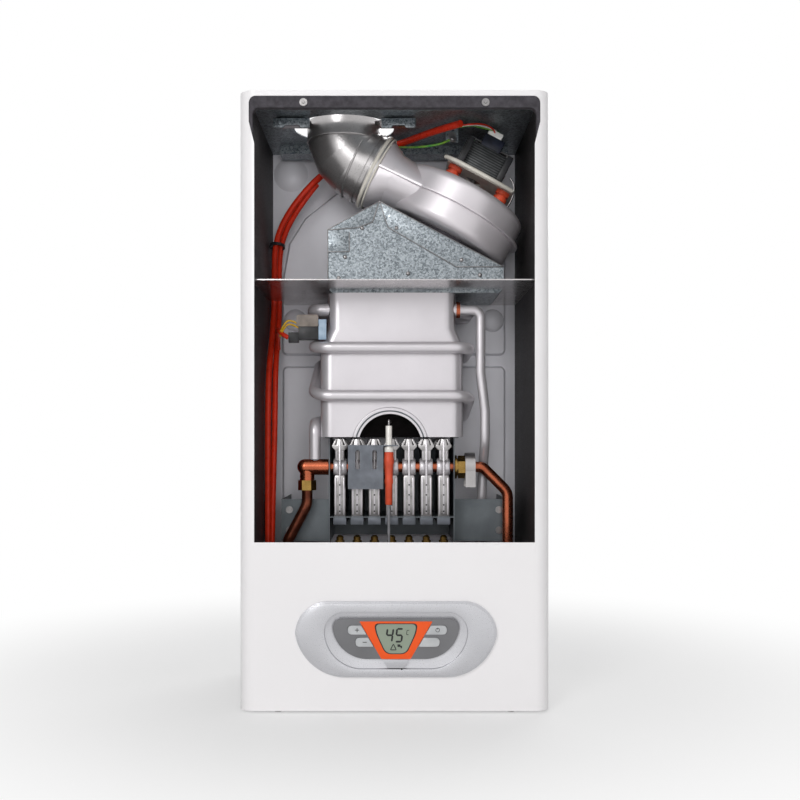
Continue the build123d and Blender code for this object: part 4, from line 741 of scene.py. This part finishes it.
class HEATER_OT_hood(bpy.types.Operator):
    """The fume hood with its folded flaps and rivets"""
    bl_idname = "heater.hood"
    bl_label = "Fume hood"

    def execute(self, context):
        size = context.scene.heater_sizes
        coat("galvanised_sheet", "fume_hood")
        y = jacket_front
        seam = 1000 * size.seam
        flaps = [
            panel([(-73.0, 166.5), (-49.5, 166.5), (-49.5, 188.0), (-72.9, 190.5)], y, seam),
            panel([(-72.6, 191.2), (-17.0, 221.6), (-24.5, 199.5), (-40.5, 193.2)], y, seam * 0.7),
            panel([(-16.0, 221.6), (119.8, 150.0), (68.0, 150.0), (-7.0, 193.5)], y, seam * 0.7),
        ]
        for flap in flaps:
            rounded(flap, 0.4)
        trim = settle(joined(flaps), "hood_flaps", "galvanised_sheet")
        rivets = []
        r = 1000 * size.rivet
        for x, z in rivet_spots:
            rivets.append(turned([(0, r), (0.5, r), (1.0, r * 0.75), (1.3, r * 0.3)], (x, y - 0.55, z),
                                 forward, 16))
        settle(joined(rivets), "hood_rivets", "zinc_plate")
        # Bright cut edges of the folded sheet
        edges = []
        for x0, z0, x1, z1 in ((-73, 126, -73, 191), (-73, 191, -16.5, 222), (-16.5, 222, 120, 150.4),
                               (-72.5, 190.6, -40.5, 193), (-40.5, 193, -24, 199), (-24, 199, -16.8, 221),
                               (-7, 193.5, -15.6, 221), (-7, 193.5, 68, 150), (68, 150, 119.5, 150),
                               (-49.5, 166.5, -49.5, 188), (-73, 166.5, -49.5, 166.5)):
            way = Vector((x1 - x0, 0, z1 - z0))
            far = way.length
            edges.append(turned([(0, 0.35), (0.5, 0.5), (far - 0.5, 0.5), (far, 0.35)],
                                (x0, y - 0.9, z0), way, 10))
        settle(joined(edges), "hood_edges", "zinc_plate")
        return {"FINISHED"}


class HEATER_OT_exchanger(bpy.types.Operator):
    """The heat exchanger's jacket, fins, core tubes and coil"""
    bl_idname = "heater.exchanger"
    bl_label = "Heat exchanger"

    def execute(self, context):
        coat("tin_coat", "exchanger_coil", "hot_pipe")

        def faces_inwards(p, n):
            across = n[0] * (p[0] - jacket_middle[0]) + n[1] * (p[1] - jacket_middle[1])
            return across < -0.5 and p[1] > jacket_front + 0.5

        # The inner faces are painted near-black as painted shade; the rest is tinned
        dressed("exchanger_jacket", "jacket", [("painted_chamber_shade", faces_inwards), ("tin_coat", always)])
        # The rolled rim of the viewing arch: two tinned beads, and between them a slate bead that is painted
        # shade for the groove
        rims = []
        for radius, thick, tone in ((36.2, 1.2, "tin_coat"), (38.5, 1.6, "slate_coat"),
                                    (41.0, 1.5, "tin_coat")):
            rim = bead(radius, thick, arch_centre, (0, 1, 0))
            rims.append(painted(halved(rim, (0, 0, jacket_bottom), (0, 0, -1)), tone))
        settle(joined(rims), "arch_rims")
        coat("copper_pipe", "exchanger_fins")
        dressed("exchanger_tubes", "core_tubes", [
            ("copper_pipe", lambda p, n: 68.6 < p[0] < 73.4),
            ("tin_coat", always)])
        return {"FINISHED"}


class HEATER_OT_burner(bpy.types.Operator):
    """Burner blades, frame, manifold and nozzles"""
    bl_idname = "heater.burner"
    bl_label = "Burner"

    def execute(self, context):
        coat("slate_coat", "burner_frame")
        front, back = blade_front, blade_front + blade_depth
        parts = [
            (rounded(panel([(-6.3, -126), (-6.3, -82), (-5.2, -79.5), (5.2, -79.5), (6.3, -82), (6.3, -126)],
                           back, blade_depth), 0.8), "burner_stainless"),
            (rounded(panel([(-5, -63), (-5, -51), (-2.6, -39.2), (2.6, -39.2), (5, -51), (5, -63)],
                           back, blade_depth), 0.6), "burner_stainless"),
            (rounded(panel([(-7.2, -134), (-7.2, -127), (-5.5, -124.5), (5.5, -124.5), (7.2, -127),
                            (7.2, -134)], back, blade_depth + 1), 0.6), "phosphated_plate"),
            # The blade's sheet flares round the water tube; its bright tin finish there is painted highlight
            (turned([(0, 8.8), (1, 9.6), (5, 9.9), (7.2, 8.9), (9.4, 9.9), (13.4, 9.6), (14.4, 8.8)],
                    (-7.2, -128, -70.5), (1, 0, 0), 40), "tin_coat"),
        ]
        # Louvred tips, one behind the other
        louvre = [(-4.4, -39.4), (-8.6, -46.4), (-8.6, -48), (-5, -52), (5, -52), (8.6, -48), (8.6, -46.4),
                  (4.4, -39.4), (3, -39.4), (5.6, -46.2), (3.4, -46.2), (1.6, -39.4), (-1.6, -39.4),
                  (-3.4, -46.2), (-5.6, -46.2), (-3, -39.4)]
        for j in range(5):
            y = front + 1 + j * 20
            parts.append((rounded(panel(louvre, y, 1.4), 0.25), "burner_stainless"))
        # Pressed ribs: one down the middle, and pairs beside it below and above the tube. The relief is real;
        # their bright tin finish on the stainless blade is painted highlight
        for x, low, high, wide in ((0, -122, -42, 1.0), (-4.5, -123, -82, 0.8), (4.5, -123, -82, 0.8),
                                   (-3.4, -62, -52, 0.5), (3.4, -62, -52, 0.5)):
            parts.append((rounded(panel([(x - wide, low), (x - wide, high), (x + wide, high), (x + wide, low)],
                                        front, 1.5), 0.5), "tin_coat"))
        # Painted shade: black discs down the middle of each blade, where its dimples and holes lie
        for z in (-90, -101, -112, -119):
            parts.append((turned([(0, 0.9), (1.7, 0.9)], (0, front, z), forward, 12), "black_print"))
        blade = joined([painted(part, tone) for part, tone in parts])
        row = [blade]
        for j in range(1, blade_count):
            hold(blade)
            bpy.ops.object.duplicate()
            copy = bpy.context.object
            bpy.ops.transform.translate(value=at(blade_pitch * j, 0, 0))
            row.append(copy)
        row = hold(joined(row))
        bpy.ops.transform.translate(value=at(blade_first, 0, 0))
        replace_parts(settle(row, "blade_row"), "burner_blades")
        coat("phosphated_plate", "electrode_bracket")
        coat("cast_aluminium", "gas_manifold")
        coat("turned_brass", "gas_nozzles")
        return {"FINISHED"}


class HEATER_OT_pipes(bpy.types.Operator):
    """Copper pipes, brass nuts, the water block and the connections"""
    bl_idname = "heater.pipes"
    bl_label = "Pipes"

    def execute(self, context):
        coat("copper_pipe", "bypass_pipes", "water_header")
        coat("browned_copper", "cold_pipe")
        coat("turned_brass", "brass_unions", "mixing_block", "pipe_nipples", "flow_sensor")
        coat("ground_stainless", "spring_clip")
        coat("white_polyamide", "flow_turbine")
        return {"FINISHED"}


class HEATER_OT_gas_valve(bpy.types.Operator):
    """The gas valve with its solenoids and plungers"""
    bl_idname = "heater.gas_valve"
    bl_label = "Gas valve"

    def execute(self, context):
        coat("cast_aluminium", "gas_valve")
        coat("ground_stainless", "shutoff_plunger", "modulating_plunger")
        coat("black_polyamide", "ignition_transformer", "pressure_switch")
        return {"FINISHED"}


class HEATER_OT_ignition(bpy.types.Operator):
    """The ignition electrode, its boot and its lead"""
    bl_idname = "heater.ignition"
    bl_label = "Ignition"

    def execute(self, context):
        dressed("ignition_electrode", "electrode", [
            ("ground_stainless", lambda p, n: p[2] > -24.9), ("glazed_ceramic", always)], 0.4)
        x, y = -6.0, -149.5
        boot = turned([(0, 3.4), (1, 4.0), (22, 4.1), (24, 4.8), (27, 4.8), (29, 4.3), (44, 5.2), (46, 5.9),
                       (50, 5.9), (52, 5.3), (57, 5.3), (57.8, 4.6)], (x, y, -111.4), (0, 0, 1), 32)
        settle(boot, "electrode_boot", "silicone_rubber")
        lead = tube([(x, y, -110), (x, y, -130), (x, y, -172), (-30, -146, -192), (-56, -100, -206),
                     (-78, -50, -185), (-78, -18, -189), (-78, -18, -204)], 1.5)
        settle(lead, "electrode_lead", "grey_wire")
        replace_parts(boot, "ignition_lead")
        return {"FINISHED"}


class HEATER_OT_thermostat(bpy.types.Operator):
    """The overheat cut-out with its cap, clip and plug"""
    bl_idname = "heater.thermostat"
    bl_label = "Overheat cut-out"

    def execute(self, context):
        dressed("overheat_thermostat", "overheat_cutout", [
            ("black_polyamide", lambda p, n: p[0] < -105.0 and p[2] < 77.7),
            ("blue_polyamide", lambda p, n: p[0] > -83.05 and p[2] < 91.7),
            ("taupe_phenolic", lambda p, n: p[2] > 83.6),
            ("black_polyamide", always)], 0.5)
        return {"FINISHED"}


class HEATER_OT_harness(bpy.types.Operator):
    """The red sleeves, the cable tie and the coloured wires"""
    bl_idname = "heater.harness"
    bl_label = "Harness"

    def execute(self, context):
        x = -143.4
        left = tube([(-95, -62, 262), (-118, -63, 238), (x + 2, -50, 198), (x - 0.5, -33, 150),
                     (x - 1, -30, 118), (x - 1, -52, 80), (x - 1, -88, 42), (x - 1.5, -94, -20),
                     (x - 1, -97, -110), (x, -103, -190), (x + 14, -142, -235),
                     (-103.4, -185, -262), (-78, -190, -274)], 3.6)
        right = tube([(-91, -56, 262), (-112, -57, 236), (x + 8, -42, 198), (x + 4, -26, 150),
                      (x + 5, -24, 118), (x + 5, -46, 80), (x + 6, -82, 42), (x + 6, -88, -20),
                      (x + 4, -91, -110), (x + 3, -97, -190), (x + 16, -138, -237),
                      (-101.4, -181, -266), (-76, -184, -277)], 3.3)
        across = tube([(-99, -60, 258), (-84, -57, 275), (-56, -56, 290), (-22, -62, 299), (14, -88, 303),
                       (44, -126, 304.5), (72, -160, 303)], 3.9)
        cutout = tube([(-135.4, -68, 66), (-133.4, -92, 80), (-131.4, -122, 84), (-125, -143.5, 77),
                       (-116.6, -143.5, 72.1)], 2.6)
        sleeves = settle(joined([left, right, across, cutout]), "cable_sleeves", "silicone_sleeve")
        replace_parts(sleeves, "wiring_harness")
        tie = band(8.6, -1.8, 1.8, 1.4, (x + 4.4, -47, 190), (0.06, 0.25, 1))
        settle(rounded(tie, 0.3), "cable_tie", "black_polyamide")
        spot = fan_at(0, -19, 101)
        for j, tone in enumerate(("red_wire", "white_wire", "green_wire")):
            end = spot[0] - 3 + 3 * j
            wire = tube([(66 + j, -150 + 3 * j, 303), (84, -152 + 5 * j, 305 + j),
                         (100, -140 + 5 * j, 308.5 - j), (end, -124 + 3 * j, 306),
                         (end, -117, spot[2] - 1)], 0.9)
            settle(wire, "motor_" + tone, tone)
        earth = tube([(6, -84, 298), (20, -108, 291), (36, -122, 288.5), (52, -122, 291),
                      (62, -118, 296.5)], 1.3)
        settle(earth, "earth_wire", "green_wire")
        lug = [turned([(0, 4.2), (1.2, 4.2)], (66, -117.5, 297.5), (0, -1, 0.3), 24),
               turned([(0, 3.1), (2.6, 3.1), (3.4, 2.2)], (66, -118.5, 297.8), (0, -1, 0.3), 6)]
        settle(joined(lug), "earth_lug", "zinc_plate")
        for j, z in enumerate((88, 84)):
            hot = tube([(-126, -140, z - 10), (-120, -146, z + 2), (-112, -146, z + 3),
                        (-104, -146, z - 2)], 1.0)
            settle(hot, "cutout_wire_%d" % j, "yellow_wire")
        return {"FINISHED"}


class HEATER_OT_controls(bpy.types.Operator):
    """The control panel: bezel, plate, surround, display and buttons"""
    bl_idname = "heater.controls"
    bl_label = "Controls"

    def execute(self, context):
        middle, top, foot = panel_middle, mask_top, mask_foot
        dressed("bezel", "bezel_shell", [("silver_paint", always)], 0.7)
        coat("satin_silver", "panel_plate")
        mask = panel(softened([(middle - mask_top_half, top), (middle + mask_top_half, top),
                               (middle + mask_foot_half, foot), (middle - mask_foot_half, foot)],
                              (0.8, 0.8, 0.8, 0.8)), -228.9, 0.8)
        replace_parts(settle(rounded(mask, 0.2), "surround", "orange_film"), "display_mask")
        corners = [(middle - 21.8, -227.6), (middle + 21.8, -227.6), (middle + 20, -238), (middle + 10.5, -259),
                   (middle - 10.5, -259), (middle - 20, -238)]
        rim = panel(softened([(x * 1.03 - 0.05, z) for x, z in corners], (5, 5, 5, 6, 6, 5)), -229.7, 0.15)
        smaller = [(middle + (x - middle) * 0.96, -243.3 + (z + 243.3) * 0.95) for x, z in corners]
        glass = panel(softened(smaller, (5, 5, 5, 6, 6, 5)), -229.8, 0.15)
        rim, glass = painted(rim, "black_print"), painted(glass, "crystal_glass")
        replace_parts(settle(joined([rim, glass]), "display"), "display_screen")

        def mark(points):
            return painted(panel(points, -229.93, 0.1), "black_print")

        def stroke(x0, z0, x1, z1, wide):
            way = Vector((x1 - x0, z1 - z0)).normalized()
            side = Vector((-way.y, way.x)) * wide / 2
            tip = way * wide / 2
            a, b = Vector((x0, z0)), Vector((x1, z1))
            return mark([tuple(a), tuple(a + tip + side), tuple(b - tip + side), tuple(b),
                         tuple(b - tip - side), tuple(a + tip - side)])

        high = 1000 * context.scene.heater_sizes.digit
        wide, lean, base = high * 0.46, 0.14, -246.2
        signs = []
        for left, segments in ((-8.9, "fgbc"), (0.9, "afgcd")):
            ends = {"a": (0, 1, 1, 1), "b": (1, 0.5, 1, 1), "c": (1, 0, 1, 0.5), "d": (0, 0, 1, 0),
                    "f": (0, 0.5, 0, 1), "g": (0, 0.5, 1, 0.5)}
            for letter in segments:
                x0, z0, x1, z1 = ends[letter]
                signs.append(stroke(left + x0 * wide + z0 * high * lean, base + z0 * high,
                                    left + x1 * wide + z1 * high * lean, base + z1 * high, 1.9))
        for x0, z0, x1, z1 in ((12.2, -239, 12.8, -234.6), (12.8, -234.6, 15.2, -234.6),
                               (12.2, -239, 14.4, -239), (11.2, -234.2, 11.9, -234.2)):
            signs.append(stroke(x0, z0, x1, z1, 0.6))
        for x0, z0, x1, z1 in ((-4.2, -254.6, -1.2, -248.6), (-1.2, -248.6, 1.8, -254.6),
                               (1.8, -254.6, -4.2, -254.6)):
            signs.append(stroke(x0, z0, x1, z1, 0.9))
        signs.append(mark([(3, -249), (6, -249), (6, -250.4), (7.6, -250.4), (7.6, -253), (6.2, -253),
                           (6.2, -251.6), (3, -251.6)]))
        settle(joined(signs), "display_signs")
        tab = panel([(middle - 13.6, foot - 0.3), (middle + 13.6, foot - 0.3), (middle + 8.3, -273.3),
                     (middle - 8.3, -273.3)], -229.4, 0.9)
        tab = painted(rounded(tab, 0.3), "silver_paint")
        dot = painted(turned([(0, 1.0), (0.3, 0.9)], (7.3, -230.0, -274.2), forward, 16), "black_print")
        settle(joined([tab, dot]), "silver_tab")

        # Each cap's inner end follows the slanted edge of the surround
        slope = (mask_top_half - mask_foot_half) / (top - foot)
        for key, x, z in key_spots:
            side = -1 if x < 0 else 1
            outer, high_z, low_z = x + side * key_half_width, z + key_half_height, z - key_half_height
            over, under = [middle + side * (mask_top_half - slope * (top - height) + 0.6)
                           for height in (high_z, low_z)]
            cap = panel(softened([(outer, high_z), (over, high_z), (under, low_z), (outer, low_z)],
                                 (4.5, 0.6, 0.6, 4.5)), -225.8, 4.5)
            cap = painted(rounded(cap, 0.7, 3), "button_rubber")
            face = x + side * 1.6
            prints = []
            if key in ("plus", "minus"):
                prints.append(box((face - 2.1, -230.38, z - 0.35), (face + 2.1, -230.2, z + 0.35)))
            if key == "plus":
                prints.append(box((face - 0.35, -230.38, z - 2.1), (face + 0.35, -230.2, z + 2.1)))
            if key == "power":
                prints.append(bead(1.9, 0.3, (face, -230.28, z), (0, 1, 0), 0.3))
                prints.append(box((face - 0.3, -230.38, z + 0.6), (face + 0.3, -230.2, z + 2.4)))
            whole = joined([cap] + [painted(piece, "black_print") for piece in prints])
            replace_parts(settle(whole, "cap_" + key, None, key + "_key"), "button_" + key)
        coat("white_polyamide", "control_box")
        coat("board_green", "control_board")
        return {"FINISHED"}


class HEATER_PT_panel(bpy.types.Panel):
    """Sidebar list of the heater's pieces and their settings"""
    bl_idname = "HEATER_PT_panel"
    bl_label = "Gas water heater"
    bl_space_type = "VIEW_3D"
    bl_region_type = "UI"
    bl_category = "Heater"

    def draw(self, context):
        for group in (context.scene.heater_sizes, context.scene.heater_colours):
            for name in group.__annotations__:
                self.layout.prop(group, name)
        for operator in operators:
            self.layout.operator(operator.bl_idname)


operators = (HEATER_OT_stage, HEATER_OT_casing, HEATER_OT_flue, HEATER_OT_fan, HEATER_OT_hood,
             HEATER_OT_exchanger, HEATER_OT_burner, HEATER_OT_pipes, HEATER_OT_gas_valve,
             HEATER_OT_ignition, HEATER_OT_thermostat, HEATER_OT_harness, HEATER_OT_controls)
classes = (HeaterColours, HeaterSizes) + operators + (HEATER_PT_panel,)


def register():
    """Register the classes and hang the settings on the scene."""
    for made in classes:
        bpy.utils.register_class(made)
    bpy.types.Scene.heater_colours = bpy.props.PointerProperty(type=HeaterColours)
    bpy.types.Scene.heater_sizes = bpy.props.PointerProperty(type=HeaterSizes)


def unregister():
    """Take the settings and the classes away again."""
    del bpy.types.Scene.heater_sizes
    del bpy.types.Scene.heater_colours
    for made in reversed(classes):
        bpy.utils.unregister_class(made)


def main():
    """Build the whole heater, one operator after the other."""
    register()
    bpy.ops.heater.stage()
    bpy.ops.heater.casing()
    bpy.ops.heater.flue()
    bpy.ops.heater.fan()
    bpy.ops.heater.hood()
    bpy.ops.heater.exchanger()
    bpy.ops.heater.burner()
    bpy.ops.heater.pipes()
    bpy.ops.heater.gas_valve()
    bpy.ops.heater.ignition()
    bpy.ops.heater.thermostat()
    bpy.ops.heater.harness()
    bpy.ops.heater.controls()


if __name__ == "__main__":
    main()
